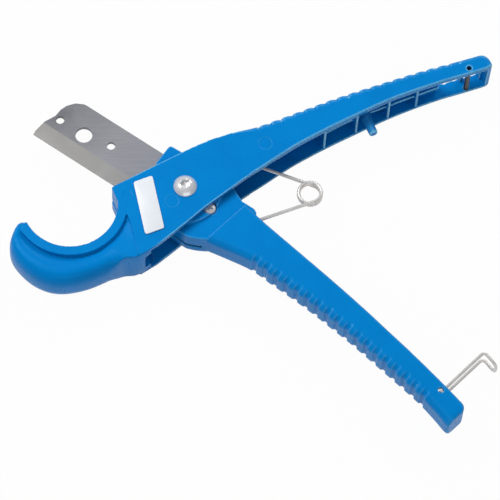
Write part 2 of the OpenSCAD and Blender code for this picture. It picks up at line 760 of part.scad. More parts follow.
// Torsion spring: one wire with a leg in the handle, a coil and a leg in the lever
coil_centre = [coil_x, -coil_drop];
upper_dir = polar(1, upper_leg_angle);
upper_start = upper_leg_angle - 90;
lower_end = -90;
coil_sweep = upper_start - lower_end + 360 * coil_turns;
coil_rise = coil_step * coil_sweep / 360;
upper_foot = coil_centre + polar(coil_r, upper_start);
lower_foot = coil_centre + polar(coil_r, lower_end);
seat_rise = roof_y(coil_x / 2) - rest_gap - spring_wire / 2 - upper_foot[1];
upper_len = seat_rise / upper_dir[1];
lower_foot_turned = turned(lower_foot, open_angle);
lower_dir_turned = turned([-1, 0], open_angle);
lower_len = (pocket_floor + rest_gap + spring_wire / 3 - lower_foot_turned[1]) / lower_dir_turned[1];
coil_count = round(coil_sweep / 360 * coil_rings);
wire_path = concat(
    [for (s = [1, 0.5]) concat(upper_foot + s * upper_len * upper_dir, mid - coil_rise / 2)],
    [for (i = [0:coil_count])
        concat(coil_centre + polar(coil_r, upper_start - coil_sweep * i / coil_count),
               mid - coil_rise / 2 + coil_rise * i / coil_count)],
    [for (s = [0.5, 1]) concat(lower_foot - [s * lower_len, 0], mid + coil_rise / 2)]
);
// Least distance between turns, from surface to surface
coil_gap = min([for (i = [0:len(wire_path) - 1]) for (j = [i + coil_rings / 2:1:len(wire_path) - 1])
    norm(wire_path[i] - wire_path[j])]) - spring_wire;
echo(least_gap_between_turns = coil_gap);

module spring() {
    color([0.75, 0.74, 0.72])
        skin(wire_rings(wire_path, spring_wire, coil_sides));
}

// Half of the latch's path, in front of its middle plane: from the loop's middle back to the pivot
function latch_half() =
    let (
        z = latch_span / 2,
        top = latch_leg - latch_corner * tan(latch_turn / 2),
        straight = latch_hook_len - latch_corner * tan(latch_turn / 2),
        lean = 90 - latch_turn,
        heel = [latch_corner, top] + polar(latch_corner, 90 + lean),
        tip = heel + polar(straight, lean),
        ends = [for (a = [0:30:90])
            concat(tip - polar(loop_corner * (1 - cos(a)), lean), z - loop_corner * (1 - sin(a)))],
        corner = [for (i = [0:4])
            concat([latch_corner, top] + polar(latch_corner, 90 + lean + latch_turn * i / 4), z)],
        elbow = [for (a = [0:30:90]) [0, latch_bend * (1 - sin(a)), z + latch_bend * (1 - cos(a))]]
    )
    concat(ends, corner, elbow, [[0, 0, lever_t / 2 - rest_gap]]);
front_half = latch_half();
latch_path = concat([for (i = [len(front_half) - 1:-1:0])
                        [front_half[i][0], front_half[i][1], -front_half[i][2]]],
                    front_half);

module latch_hook() {
    color([0.78, 0.78, 0.8])
        rotate([0, 0, -open_angle])
            translate([latch_x(), latch_y(), mid])
                rotate([0, 0, -latch_lean]) skin(wire_rings(latch_path, latch_wire, latch_sides));
}

module latch_pin() {
    inset = cheek_wall / 5;
    foot = mid - half_t(latch_pin_x) + inset;
    color([0.08, 0.08, 0.09])
        translate([latch_pin_x, latch_pin_y(), foot])
            cylinder(h = 2 * (half_t(latch_pin_x) - inset), d = latch_pin_d, $fn = fn_small);
}

// Bare plate on the front cheek, leaning with the edge of the throat
module name_plate() {
    lean_share = 0.18;
    place_shares = [-0.367, -0.16];
    corner = 0.8;
    w = plate_w / 2 - corner;
    h = plate_h / 2 - corner;
    color([0.93, 0.94, 0.95])
        translate([place_shares[0] * jaw_back, place_shares[1] * back_rise, body_t])
            linear_extrude(height = plate_t)
                offset(r = corner, $fn = fn_small)
                    polygon([[-w - lean_share * h, -h], [w - lean_share * h, -h],
                             [w + lean_share * h, h], [-w + lean_share * h, h]]);
}

jaw_body();
lever_handle();
blade();
pivot_screw();
pivot_sleeve();
blade_screw();
blade_nut();
spring();
latch_hook();
latch_pin();
name_plate();
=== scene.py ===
from math import acos, asin, cos, pi, radians, sin, sqrt, tan

import bmesh
import bpy
import numpy as np
from mathutils import Matrix, Vector
from mathutils.bvhtree import BVHTree


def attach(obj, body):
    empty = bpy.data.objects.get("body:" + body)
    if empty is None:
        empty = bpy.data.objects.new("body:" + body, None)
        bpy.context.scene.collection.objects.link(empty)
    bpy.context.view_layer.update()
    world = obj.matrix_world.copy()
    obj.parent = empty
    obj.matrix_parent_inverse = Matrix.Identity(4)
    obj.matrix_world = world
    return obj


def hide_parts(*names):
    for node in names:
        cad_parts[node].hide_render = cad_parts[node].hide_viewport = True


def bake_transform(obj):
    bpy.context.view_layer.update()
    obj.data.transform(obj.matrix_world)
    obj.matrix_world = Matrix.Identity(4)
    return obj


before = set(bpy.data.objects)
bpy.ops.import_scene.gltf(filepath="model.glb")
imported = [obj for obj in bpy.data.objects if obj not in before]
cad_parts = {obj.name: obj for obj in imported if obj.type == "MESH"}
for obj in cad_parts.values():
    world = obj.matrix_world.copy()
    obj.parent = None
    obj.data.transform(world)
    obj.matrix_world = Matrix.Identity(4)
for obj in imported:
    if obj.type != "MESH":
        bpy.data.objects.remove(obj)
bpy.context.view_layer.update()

MM = 0.001

# The photograph: where its camera stood and how large it shows the tool
FRAME_PX = 500
FOCAL_PX = 3685.0
PX_PER_MM = 2.24
PIVOT_PX = (185.2, 186.2)
CAMERA_TILT = radians(25.1)
CAMERA_YAW = radians(-1.63)
TOOL_TURN = radians(-22.5)
SENSOR = 36.0
FAR_CLIP = 20

# Clearances in millimetres: at rests, where a part turns, and where one is screwed or pressed in
REST_GAP = 0.3
TURN_GAP = 0.08
FIT_GAP = 0.02

# The body in millimetres: its cheeks as far as CHEEK_END, and the handle's walls
BODY_T = 21.6
MID = BODY_T / 2
CHEEK_WALL = 2.6
CHEEK_END = 44
HANDLE_WALL = 3.25
REAR_WALL = 1.8
BACK_WALL = 2.5
END_WALL = 2.2

# The jaw: its bore, mouth and lip, the throat's wall, and where the handle begins
JAW_BACK = 50.7
JAW = (-JAW_BACK, 11.3)
JAW_R = 21.25
MOUTH_SIDE = 20.1
LIP_W = 4.3
LIP_ROUND = 1.2
THROAT_WALL = 4
THROAT_X = JAW[0] + JAW_R + THROAT_WALL
JOIN_X = 30

# The upper handle
HANDLE_LEN = 153.2
HANDLE_DRAFT = 0.2
BACK_RISE = 17.4
RIDGE_H = 0.7
RIDGES = 17
RIM_BEVEL = 0.5
RIB_T = 1.1
WEB_T = 1.2
WEB_STEP = 1.8
END_ROUND = 3.6
BACK_FILLET = 2.4
CORNER = 1.6
BAR_T = 1.8
WINDOW_EDGE = 0.2

# How far cutters run past what they cut, and ribs, web and peg reach into what holds them
OVER = 1
LAP = 0.3
ROOT_LAP = 0.5

# The handle's rings lie this far inside the cheeks' faces, so that no faces fall together
INSET = 0.05

# The front rim comes down from the first place over the length given, and partly up again later
RIM_DROP = 0.9
DROP_START, DROP_LENGTH = 92, 40
LIFT_START, LIFT_LENGTH, LIFT_SHARE = 149.5, 3.5, 0.45

# The foot of the throat's wall: its notch's depth, and its reach from the rim and in thickness
NOTCH_DEPTH = 3.2
NOTCH_SIDE = (-3, 5)
NOTCH_LEVELS = (5.5, 16)

# The peg: how far it stands out below the rim, its radius at the root, and its end as heights
# above its foot with the radius at each
PEG_REACH = 7.8
PEG_ROOT_R = 2.5
PEG_END = ((0.5, 2.02), (0.15, 1.85), (0, 1.5))

# Outlines of the body in shares of its length and of the height of its back
BACK = [(-0.2, 0.678), (0.03, 0.937), (0.115, 1), (0.19, 0.985), (0.27, 0.945), (0.4, 0.955),
        (0.53, 0.965), (0.68, 0.922), (0.82, 0.859), (0.9, 0.79), (1, 0.725)]
RIM = [(-0.2, -1.44), (-0.034, -0.94), (0.028, -0.735), (0.12, -0.49), (0.17, -0.355),
       (0.235, -0.224), (0.3, -0.08), (0.36, 0.04), (0.46, 0.172), (0.56, 0.27), (0.69, 0.375),
       (0.83, 0.395), (0.92, 0.348), (1, 0.31)]
WEB = [(0.44, 0.29), (0.52, 0.4), (0.6, 0.45), (0.7, 0.466), (0.86, 0.475)]
CHEEK = [(-0.633, -1.39), (-0.581, -0.5), (-0.574, -0.2), (-0.66, 0)]
RIM_START = 0.515
RIDGE_SPAN = (0.276, 0.88)
RIDGE_FALL, RIDGE_RISE = 0.14, 0.55
RIBS = (0.456, 0.564, 0.672, 0.765)
PEG = 0.597
WEB_END = 0.85
WINDOWS = ((0.845, 0.919), (0.932, 0.977))

# The mould's round marks: places in shares of the jaw's distance and the back's height, widths in
# shares of that height, and how deep and how steep they are in millimetres
MARKS = ((-0.5, 0.34, 0.25), (-0.16, -0.26, 0.34), (0.82, 0.38, 0.34))
MARK_DEPTH = 0.13
MARK_SLOPE = 0.35
MARK_SKIN = 0.15

# The hook: angle round the jaw and reach in shares of its radius, then its section: share of the
# width, half thickness in the bow and at the root
HOOK = [(174, 1.11), (180, 1.218), (185, 1.345), (191, 1.5), (199, 1.623), (211, 1.704),
        (224, 1.775), (235, 1.803), (244, 1.786), (255, 1.738), (270, 1.69), (278, 1.685),
        (284, 1.69), (291, 1.72), (297, 1.87), (306, 1.98), (314, 1.9), (322, 1.6), (330, 1.3)]
SECTION = [(0, 0.8, 0.8), (0.1, 0.76, 0.79), (0.2, 0.79, 0.83), (0.33, 0.85, 0.89),
           (0.48, 0.9, 0.94), (0.62, 0.905, 0.955), (0.77, 0.85, 0.96), (0.9, 0.68, 0.95),
           (0.98, 0.4, 0.88), (1, 0, 0)]

# The section is fuller at its tip, and leaves a share of the lip's width free
TIP_FULLER = 1.12
LIP_FREE = 0.6

# In degrees round the jaw: where lip, tip, root and hook start or end, and their blends
LIP_ANGLE = 184.5
LIP_SWEEP = 150
TIP_ROUND = 9
TIP_BLEND = 12
ROOT_ANGLE = 276
ROOT_BLEND = 17
HOOK_SWEEP = 146
HOOK_END = 320

# The lever, in its own frame along its handle
OPEN_ANGLE = radians(67.6)
LEVER_T = 14.6
LEVER_LEN = 161
LEVER_RISE = 16.6
LEVER_WALL = 2
HEAD_T = 13
HEAD_R = 19.2
NOSE = 0.95
BEARING_R = 16.6
BEARING_H = MID - HEAD_T / 2 - CHEEK_WALL - REST_GAP
GROOVE_H = 0.9
GROOVES = 18
GROOVE_SLOPE, GROOVE_W = 0.08, 0.46
LEVER_FILLET = 3.4
LEVER_BEVEL = 0.6
LEVER_END = 3
OUTER = [(0.14, -0.66), (0.215, -0.38), (0.28, -0.17), (0.35, -0.08), (0.42, 0.02), (0.49, 0.1),
         (0.56, 0.155), (0.63, 0.205), (0.735, 0.24), (0.88, 0.27), (0.94, 0.23), (1, 0.155)]
INNER = [(0.12, 0.87), (0.21, 0.856), (0.34, 0.9), (0.48, 0.95), (0.61, 0.972), (0.68, 0.965),
         (0.79, 0.956), (0.91, 0.914), (1, 0.86)]
GROOVE_SPAN = (0.279, 0.9165)
STOP_EDGE = ((0.73, 0.865), (-0.807, 0.64))
HEAD = [(-1.09, 0.573), (-0.99, 0.04), (-0.58, -0.73), (0.2, -0.91), (0.72, -0.835),
        (0.866, -0.805), (0.996, -0.729), (1.12, -0.64), (1.29, -0.49), (1.32, 0.7), (1.15, 0.755)]
BUMP = [(1.1, 0.6), (1.1, 0.757), (1.46, 0.828), (1.58, 0.79), (1.6, 0.7)]
BUMP_ROUND = 1.2
HANDLE_START = 1.24
POCKET = (24.5, 33.7, 4)
LEVER_RIBS = (0.36, 0.48, 0.66, 0.78)
RIB_DROP = 4
LATCH_SHARE = 0.915
LATCH_DROP = 3
LATCH_HOLE = 2.5

# The blade's screw in the lever: radius of its shank and head, depth of the head and of the nut
SCREW_AT = (14, 1.6)
SCREW_R = 1.5
SEAT_R = 3.2
SEAT_DEPTH = 2
NUT_DEPTH = 2.5
SCREW_LIFT = 0.6

# Copies of solids: node, name, body, bevel and lift
COPIES = (("blade_screw", "blade_pan_screw", "lever", 0.1, SCREW_LIFT),
          ("blade_nut", "blade_hex_nut", "lever", 0.15, 0),
          ("pivot_sleeve", "pivot_sleeve_nut", "body", 0.15, 0))

# The blade, in its own frame towards its tip; EDGE_BACK and EDGE_FRONT are half thicknesses
BLADE_LEAN = radians(10.6)
BLADE_TURN = pi + BLADE_LEAN - OPEN_ANGLE
BLADE_T = 2
BLADE_MID = 8.8
BLADE_REACH = 74.4
EDGE_DROP = 13.2
SPINE_DROP = 12.4
ROOT_LEN = 19.6
GRIND_W = 7.6
EDGE_W = 1.6
EDGE_BACK, EDGE_FRONT = 0.45, 0.17
FLAT_FROM = 0.8
TIP_EDGE = [(1, 1), (1.004, 0.85), (0.993, 0.4), (0.977, 0.2), (0.962, 0)]
TIP_SPINE = [(0.96, 0.31), (0.946, 0.57), (0.913, 0.83), (0.866, 0.985), (0.85, 1)]
ROOT_CORNERS = ((0.62, 1), (1, 0.55))
HOLES = ((68.6, 0.5, 3.9), (55.4, 0.5, 7.8), (42.2, -2.1, 3.9))

# Room for the blade in the throat's slot and in its seat
SLOT_GAP = 0.2
SLOT_END = 0.6
SLOT_FLOOR = 0.8
SEAT_GAP = 0.2

# The pin: its ends lie below the faces of the handle in front and behind
PIN_AT = (142.5, 7.83)
PIN_D = 2.4
PIN_SUNK = 2.3
PIN_SUNK_BEHIND = 0.8
PIN_CHAMFER = 0.3

# The plate: width, height and thickness, its place in shares, its lean and its corners
PLATE = (9.1, 26, 0.7)
PLATE_AT = (-0.367, -0.16)
PLATE_LEAN = 0.18
PLATE_ROUND = 1.2

# The spring: the coil's radius, its rise in each turn, its turns, and the two straight legs
COIL_CENTRE = (52.8, -19.4)
COIL_R = 5.1
COIL_STEP = 1.5
COIL_TURNS = 2
UPPER_LEG_ANGLE = radians(136.5)
LOWER_LEG_ANGLE = radians(178.6)
UPPER_LEG = 42.79
LOWER_LEG = 37.81
SPRING_WIRE = 1.6

# The latch: its wire, half the width between its legs, its leg and hook, and its bends
LATCH_WIRE = 1.5
LATCH_HALF = 3.85
LATCH_LEG = 28
LATCH_HOOK = 8.2
LATCH_BEND = 1.7
LATCH_TURN = radians(97)
LATCH_LOOP = 2.6
LATCH_REACH = 7

# The pivot: the sleeve that the screw goes into, its flange let into the rear cheek, and the
# screw's dome, its shank as radii and levels, and its six-sided socket
SLEEVE_R = 4
FLANGE_SEAT_R = 7.04
FLANGE_SEAT = 1.7
SCREW_HEAD_R = 5.3
SCREW_HEAD_H = 2.8
DOME_SHARE = 13 / 12
DOME_RADII = (5.15, 4.9, 4.5, 4.1, 3.7, 3.3, 2.9, 2.55)
SHANK = ((2.384, -17.3), (2.98, -16.7), (2.98, 0.04), (5.141, 0.04), (5.3, 0.2))
SOCKET_R = 2
SOCKET_DEPTH = 1.8
SOCKET_MOUTH = ((1.07, 1.1, 0.02), (1, 1, 0.22))
SOCKET_TIP, SOCKET_TIP_SHARE = 0.3, 0.3

# How finely the mouldings are remeshed, and how their edges are worn down after it
VOXEL = 0.3
SMOOTH_PASSES = 3

# Finish of the mouldings: noise scales per metre, then lengths in millimetres
GRAIN_SCALE = 1500
RIPPLE_SCALE = 420
CLOUD_SCALE = 60
# SHADE_REACH is how far the painted shade looks for hollows; the two after it start and blend the
# pale edges of wear and painted highlight along X
SHADE_REACH = 5
HIGHLIGHT_WEAR_START, HIGHLIGHT_WEAR_LENGTH = -25.6, 8
PARTING_W = 0.2
RIPPLE_H, GRAIN_H, PARTING_H = 0.03, 0.07, 0.12

# The blade's finish: the scale and lean of its lines, where its dark tip starts and blends, and
# how sharply the ground strip begins
LINE_SCALE = (60, 2500, 60)
LINE_LEAN = radians(35)
TIP_DARK_START, TIP_DARK_LENGTH = 42, 26
GRIND_BLEND = 0.5

# Surroundings in metres and shares: the floor's half side, its own grey, its share of plain white
# where it is seen, the sky's strength, where the lamps look, and each lamp's place, size and power
FLOOR_HALF = 6.0
FLOOR_GREY = 0.65
FLOOR_WHITE = 0.97
SKY_STRENGTH = 0.36
LAMP_AIM = (0.03, -0.04, 0)
LAMPS = {
    "key": ((-0.5, 0.3, 0.85), (0.5, 0.5), 5.8),
    "front": ((0.25, -1.2, 0.6), (1.2, 0.3), 2.8),
    "back": ((0.4, 0.9, 0.7), (0.8, 0.4), 3.2),
}


# Camera

def turned(v, angle):
    return Matrix.Rotation(angle, 3, "Z") @ Vector(v)


def make_camera():
    """The photograph's camera: far off, above the tool's lower side, a little turned."""
    away = Vector((sin(CAMERA_YAW) * cos(CAMERA_TILT), -sin(CAMERA_TILT),
                   cos(CAMERA_YAW) * cos(CAMERA_TILT)))
    right = Vector((0, 1, 0)).cross(away).normalized()
    up = away.cross(right)
    depth = FOCAL_PX / PX_PER_MM * MM
    across = (PIVOT_PX[0] - FRAME_PX / 2) * depth / FOCAL_PX
    down = (PIVOT_PX[1] - FRAME_PX / 2) * depth / FOCAL_PX
    place = away * depth - right * across + up * down
    axes = [turned(v, TOOL_TURN) for v in (right, up, away)]
    place = turned(place, TOOL_TURN) + Vector((0, 0, BODY_T * MM))
    data = bpy.data.cameras.new("camera")
    data.sensor_width = SENSOR
    data.lens = FOCAL_PX / FRAME_PX * SENSOR
    data.clip_end = FAR_CLIP
    camera = bpy.data.objects.new("camera", data)
    camera.matrix_world = Matrix.Translation(place) @ Matrix(axes).transposed().to_4x4()
    bpy.context.collection.objects.link(camera)
    bpy.context.scene.camera = camera


# Materials

class Shader:
    """A material being built: nodes are added and linked by short calls."""

    def __init__(self, name):
        self.material = bpy.data.materials.new(name)
        self.material.use_nodes = True
        self.tree = self.material.node_tree
        self.bsdf = self.tree.nodes["Principled BSDF"]

    def add(self, kind, inputs=None, **settings):
        node = self.tree.nodes.new(kind)
        for key, value in settings.items():
            setattr(node, key, value)
        for key, value in (inputs or {}).items():
            if isinstance(value, bpy.types.NodeSocket):
                self.tree.links.new(value, node.inputs[key])
            else:
                node.inputs[key].default_value = value
        return node

    def plain(self, **values):
        for key, value in values.items():
            self.bsdf.inputs[key.replace("_", " ")].default_value = value

    def place(self, turn=0.0, scale=(1, 1, 1)):
        """Place on the tool in metres, with X turned to an angle about Z, then scaled."""
        coords = self.add("ShaderNodeTexCoord")
        spun = self.add("ShaderNodeMapping", {"Vector": coords.outputs["Object"],
                                              "Rotation": (0, 0, -turn)})
        sized = self.add("ShaderNodeMapping", {"Vector": spun.outputs[0], "Scale": scale})
        return sized.outputs[0]

    def part(self, place, axis):
        return self.add("ShaderNodeSeparateXYZ", {"Vector": place}).outputs[axis]

    def noise(self, place, scale, detail=2.0, roughness=0.5):
        node = self.add("ShaderNodeTexNoise", {"Vector": place, "Scale": scale, "Detail": detail,
                                               "Roughness": roughness})
        return node.outputs["Fac"]

    def ramp(self, value, stops):
        """Colours or greys at places from 0 to 1."""
        node = self.add("ShaderNodeValToRGB", {"Fac": value})
        ramp = node.color_ramp
        while len(ramp.elements) < len(stops):
            ramp.elements.new(0.5)
        for element, (at, colour) in zip(ramp.elements, stops):
            element.position = at
            element.color = colour if isinstance(colour, tuple) else (colour, colour, colour, 1)
        return node.outputs["Color"]

    def math(self, operation, a, b=0.0, clamp=False):
        node = self.add("ShaderNodeMath", {0: a, 1: b}, operation=operation, use_clamp=clamp)
        return node.outputs[0]

    def rise(self, value, start, length):
        """From 0 at start to 1 past a length, both in millimetres."""
        past = self.math("SUBTRACT", value, start * MM)
        return self.math("MULTIPLY", past, 1 / (length * MM), True)

    def mix(self, share, a, b, blend="MIX"):
        """Two colours mixed; the node's inputs 6 and 7 and its output 2 are its colours."""
        node = self.add("ShaderNodeMix", {0: share, 6: a, 7: b}, data_type="RGBA",
                        blend_type=blend)
        return node.outputs[2]

    def bump(self, height, distance, strength, after=None):
        values = {"Height": height, "Distance": distance, "Strength": strength}
        if after is not None:
            values["Normal"] = after
        return self.add("ShaderNodeBump", values).outputs[0]

    def set(self, key, socket):
        self.tree.links.new(socket, self.bsdf.inputs[key])


def rgb(r, g, b):
    """An sRGB colour in 0 to 255 as the shader wants it."""
    line = [c / 255 for c in (r, g, b)]
    return tuple(c / 12.92 if c <= 0.04045 else ((c + 0.055) / 1.055) ** 2.4 for c in line) + (1,)


def blue_plastic(name, wear_and_highlight):
    """Moulded nylon: painted shade in hollows, pale edges of wear and painted highlight, grain,
    parting line.
    """
    s = Shader(name)
    place = s.place()
    cloud = s.noise(place, CLOUD_SCALE, detail=3)
    base = s.ramp(cloud, [(0.3, rgb(0, 126, 204)), (0.7, rgb(0, 132, 211))])
    # Painted shade: the colour is darkened in hollows by an ambient occlusion lookup
    open_share = s.add("ShaderNodeAmbientOcclusion", {"Distance": SHADE_REACH * MM}).outputs["AO"]
    base = s.mix(1.0, base, s.ramp(open_share, [(0.25, 0.68), (0.7, 1.0)]), "MULTIPLY")
    grain = s.noise(place, GRAIN_SCALE, roughness=0.7)
    speck = s.ramp(grain, [(0.3, 0.3), (0.7, 1.0)])
    shape = s.add("ShaderNodeNewGeometry").outputs["Pointiness"]
    # Pale edges, partly wear and partly a painted highlight: convex edges are mixed towards light
    # blue past a start along X
    worn_and_highlit = s.math("MULTIPLY", s.ramp(shape, [(0.506, 0.0), (0.528, wear_and_highlight)]), speck)
    worn_and_highlit = s.math("MULTIPLY", worn_and_highlit, s.rise(s.part(place, "X"), HIGHLIGHT_WEAR_START, HIGHLIGHT_WEAR_LENGTH))
    s.set("Base Color", s.mix(worn_and_highlit, base, rgb(140, 215, 245)))
    ripple = s.noise(place, RIPPLE_SCALE)
    from_mid = s.math("ABSOLUTE", s.math("SUBTRACT", s.part(place, "Z"), MID * MM))
    normal = s.bump(ripple, RIPPLE_H * MM, 0.4)
    normal = s.bump(grain, GRAIN_H * MM, 0.9, normal)
    s.set("Normal", s.bump(s.rise(from_mid, 0, PARTING_W), PARTING_H * MM, 0.6, normal))
    s.set("Roughness", s.ramp(grain, [(0.35, 0.22), (0.65, 0.45)]))
    s.plain(Specular_IOR_Level=0.16, Specular_Tint=(0.2, 0.7, 1, 1))
    return s.material


def blade_steel():
    """Ground plate: bluish with slanting lines, darker at its tip, plain grey beside its edge."""
    s = Shader("blade_steel")
    place = s.place(BLADE_TURN)
    ground = s.rise(s.part(place, "Y"), EDGE_DROP - GRIND_W, GRIND_BLEND)
    lines = s.noise(s.place(BLADE_TURN + LINE_LEAN, LINE_SCALE), 1, detail=3, roughness=0.7)
    cloud = s.noise(place, 90, detail=3, roughness=0.6)
    upper = s.mix(lines, rgb(124, 125, 132), rgb(160, 161, 166))
    to_tip = s.rise(s.part(place, "X"), TIP_DARK_START, TIP_DARK_LENGTH)
    dark = s.math("MULTIPLY", to_tip, s.ramp(cloud, [(0.3, 0.5), (0.7, 1.0)]))
    upper = s.mix(dark, upper, rgb(108, 109, 114))
    lower = s.mix(s.ramp(cloud, [(0.3, 0.0), (0.8, 1.0)]), rgb(143, 142, 141), rgb(151, 150, 149))
    s.set("Base Color", s.mix(ground, upper, lower))
    s.set("Roughness", s.ramp(lines, [(0.2, 0.5), (0.8, 0.6)]))
    s.set("Normal", s.bump(lines, 0.01 * MM, 0.4))
    s.plain(Metallic=0.5, Specular_IOR_Level=0.3)
    return s.material


def mottled(name, scale, dark, light, roughness, metallic=0.0):
    """A finish that changes a little from spot to spot."""
    s = Shader(name)
    spots = s.noise(s.place(), scale)
    s.set("Base Color", s.ramp(spots, [(0.3, rgb(*dark)), (0.7, rgb(*light))]))
    s.set("Roughness", s.ramp(spots, [(0.3, roughness[0]), (0.7, roughness[1])]))
    s.plain(Metallic=metallic)
    return s.material


# Meshes

def linked(name, mesh):
    obj = bpy.data.objects.new(name, mesh)
    bpy.context.collection.objects.link(obj)
    return obj


def applied(obj):
    """The object with its modifiers made part of its mesh."""
    graph = bpy.context.evaluated_depsgraph_get()
    mesh = bpy.data.meshes.new_from_object(obj.evaluated_get(graph))
    obj.modifiers.clear()
    obj.data = mesh
    return obj


def finished(obj, body, material, node):
    """Gives a piece its finish and its body, and hides the CAD node that it stands for."""
    obj.data.materials.clear()
    obj.data.materials.append(material)
    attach(obj, body)
    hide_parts(node)
    return obj


def ring_faces(rows, n):
    """Faces of a closed skin over rows of n points each, its two ends included."""
    sides = [(i * n + j, i * n + (j + 1) % n, (i + 1) * n + (j + 1) % n, (i + 1) * n + j)
             for i in range(rows - 1) for j in range(n)]
    return sides + [tuple(range(n))[::-1], tuple((rows - 1) * n + j for j in range(n))]


def skin(rings, name="skin"):
    """A closed skin over rings of as many points in millimetres, its faces turned outwards."""
    mesh = bpy.data.meshes.new(name)
    points = [Vector(point) * MM for ring in rings for point in ring]
    mesh.from_pydata(points, [], ring_faces(len(rings), len(rings[0])))
    shape = bmesh.new()
    shape.from_mesh(mesh)
    bmesh.ops.recalc_face_normals(shape, faces=shape.faces)
    shape.to_mesh(mesh)
    shape.free()
    return linked(name, mesh)


def prism(outline, low, high, name="prism"):
    """A flat outline drawn up from one level to another."""
    return skin([[(p[0], p[1], level) for p in outline] for level in (low, high)], name)


def block(x, y, z):
    """A box between pairs of places."""
    return prism([(x[0], y[0]), (x[1], y[0]), (x[1], y[1]), (x[0], y[1])], *z)


def circle(centre, radius, sides=64, first=0.0, sweep=2 * pi):
    """Points round a circle, or along an arc of it with both its ends."""
    count = sides if sweep == 2 * pi else sides + 1
    return [(centre[0] + radius * cos(first + sweep * i / sides),
             centre[1] + radius * sin(first + sweep * i / sides)) for i in range(count)]


def rounded(outline, radius, least=20, most=0.48, steps=6):
    """The outline with its outer corners over least degrees rounded, by up to most of a side."""
    line = []
    area = sum(p[0] * q[1] - q[0] * p[1] for p, q in zip(outline, outline[1:] + outline[:1]))
    for i, point in enumerate(outline):
        here = Vector(point[:2])
        back = Vector(outline[i - 1][:2]) - here
        ahead = Vector(outline[(i + 1) % len(outline)][:2]) - here
        bend = pi - back.angle(ahead)
        outer = (back.x * ahead.y - back.y * ahead.x) * area < 0
        if not outer or bend < radians(least):
            line.append(tuple(here))
            continue
        reach = min(radius * tan(bend / 2), most * back.length, most * ahead.length)
        start, end = here + reach * back.normalized(), here + reach * ahead.normalized()
        for k in range(steps + 1):
            t = k / steps
            line.append(tuple(start * (1 - t) ** 2 + here * (2 * t * (1 - t)) + end * t ** 2))
    return line


def combined(obj, operation, *others):
    """The object with others added to it or cut from it."""
    for other in others:
        change = obj.modifiers.new("boolean", "BOOLEAN")
        change.operation = operation
        change.solver = "MANIFOLD"
        change.object = other
        applied(obj)
        bpy.data.objects.remove(other)
    return obj


def moulded(obj, name):
    """The object with its edges rounded as a mould leaves them."""
    obj.name = name
    remesh = obj.modifiers.new("remesh", "REMESH")
    remesh.mode = "VOXEL"
    remesh.voxel_size = VOXEL * MM
    remesh.use_smooth_shade = True
    smooth = obj.modifiers.new("smooth", "SMOOTH")
    smooth.factor = 0.5
    smooth.iterations = SMOOTH_PASSES
    return applied(obj)


def shaded(mesh, sharp):
    """Smooth faces, with the edges sharp that bend by that many degrees."""
    mesh.shade_smooth()
    mesh.set_sharp_from_angle(angle=radians(sharp))


def bevelled(obj, bevel):
    """The object with a small bevel on its edges and smooth round faces."""
    chamfer = obj.modifiers.new("bevel", "BEVEL")
    chamfer.width = bevel * MM
    chamfer.segments = 2
    chamfer.limit_method = "ANGLE"
    chamfer.angle_limit = radians(35)
    applied(obj)
    shaded(obj.data, sharp=38)
    return obj


def copied(node, name, bevel):
    """A copy of a CAD node, bevelled."""
    return bevelled(linked(name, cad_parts[node].data.copy()), bevel)


def curve(table, x):
    """Smooth curve through the points of a table, as the solid has it."""
    i = 0
    while i < len(table) - 2 and x >= table[i + 1][0]:
        i += 1

    def slope(k):
        a, b = max(k - 1, 0), min(k + 1, len(table) - 1)
        return (table[b][1] - table[a][1]) / (table[b][0] - table[a][0])
    width = table[i + 1][0] - table[i][0]
    u = (x - table[i][0]) / width
    rise = table[i + 1][1] - table[i][1]
    return (table[i][1] + rise * smooth_step(u)
            + width * u * (1 - u) * ((1 - u) * slope(i) - u * slope(i + 1)))


def smooth_step(u):
    u = min(max(u, 0), 1)
    return u * u * (3 - 2 * u)


def lerp(a, b, t):
    return a + (b - a) * t


def spread(first, last, steps):
    """Places from first to last, evenly apart."""
    return [lerp(first, last, i / steps) for i in range(steps + 1)]


def through(points, steps):
    """A smooth line through points in the plane, with that many steps from each to the next."""
    line = []
    for i in range(len(points) - 1):
        p0, p1 = points[max(i - 1, 0)], points[i]
        p2, p3 = points[i + 1], points[min(i + 2, len(points) - 1)]
        for k in range(steps):
            t = k / steps
            line.append(0.5 * (2 * p1 + (p2 - p0) * t + (2 * p0 - 5 * p1 + 4 * p2 - p3) * t * t
                               + (3 * p1 - p0 - 3 * p2 + p3) * t ** 3))
    return line + [points[-1]]


def hook_ring(angle, full, steps=5):
    """One section of the hook at an angle, its size full or less towards the tip."""
    blend = smooth_step((angle - LIP_ANGLE) / TIP_BLEND)
    root = smooth_step((angle - ROOT_ANGLE) / ROOT_BLEND)
    r_in = JAW_R - OVER / 2 + blend * LIP_W * LIP_FREE
    r_out = JAW_R * curve(HOOK, angle)
    r_mid = (JAW_R + r_out) / 2
    upper = []
    for share, bow, base in SECTION:
        half = MID * full * lerp(lerp(min(1, TIP_FULLER * bow), bow, blend), base, root)
        upper.append(Vector((lerp(r_mid, lerp(r_in, r_out, share), full), half)))
    lower = [Vector((p.x, -p.y)) for p in upper[-2::-1]]
    way = Vector((cos(radians(angle)), sin(radians(angle))))
    return [(JAW[0] + p.x * way.x, JAW[1] + p.x * way.y, MID + p.y)
            for p in through(upper + lower, steps)]


def hook_rings(count=130):
    """Rings round the hook: its rounded tip, then its bow as far as the throat."""
    start = LIP_ANGLE + 1
    steps = [(start - TIP_ROUND * sin(radians(t)), cos(radians(t))) for t in range(84, 0, -6)]
    steps += [(start + HOOK_SWEEP * i / count, 1) for i in range(count + 1)]
    return [hook_ring(*step) for step in steps]


def places_of(mesh):
    """Its points as rows of three numbers."""
    places = np.empty(len(mesh.vertices) * 3, dtype=np.float32)
    mesh.vertices.foreach_get("co", places)
    return places.reshape(-1, 3)


def put_places(mesh, places):
    mesh.vertices.foreach_set("co", places.ravel())
    mesh.update()


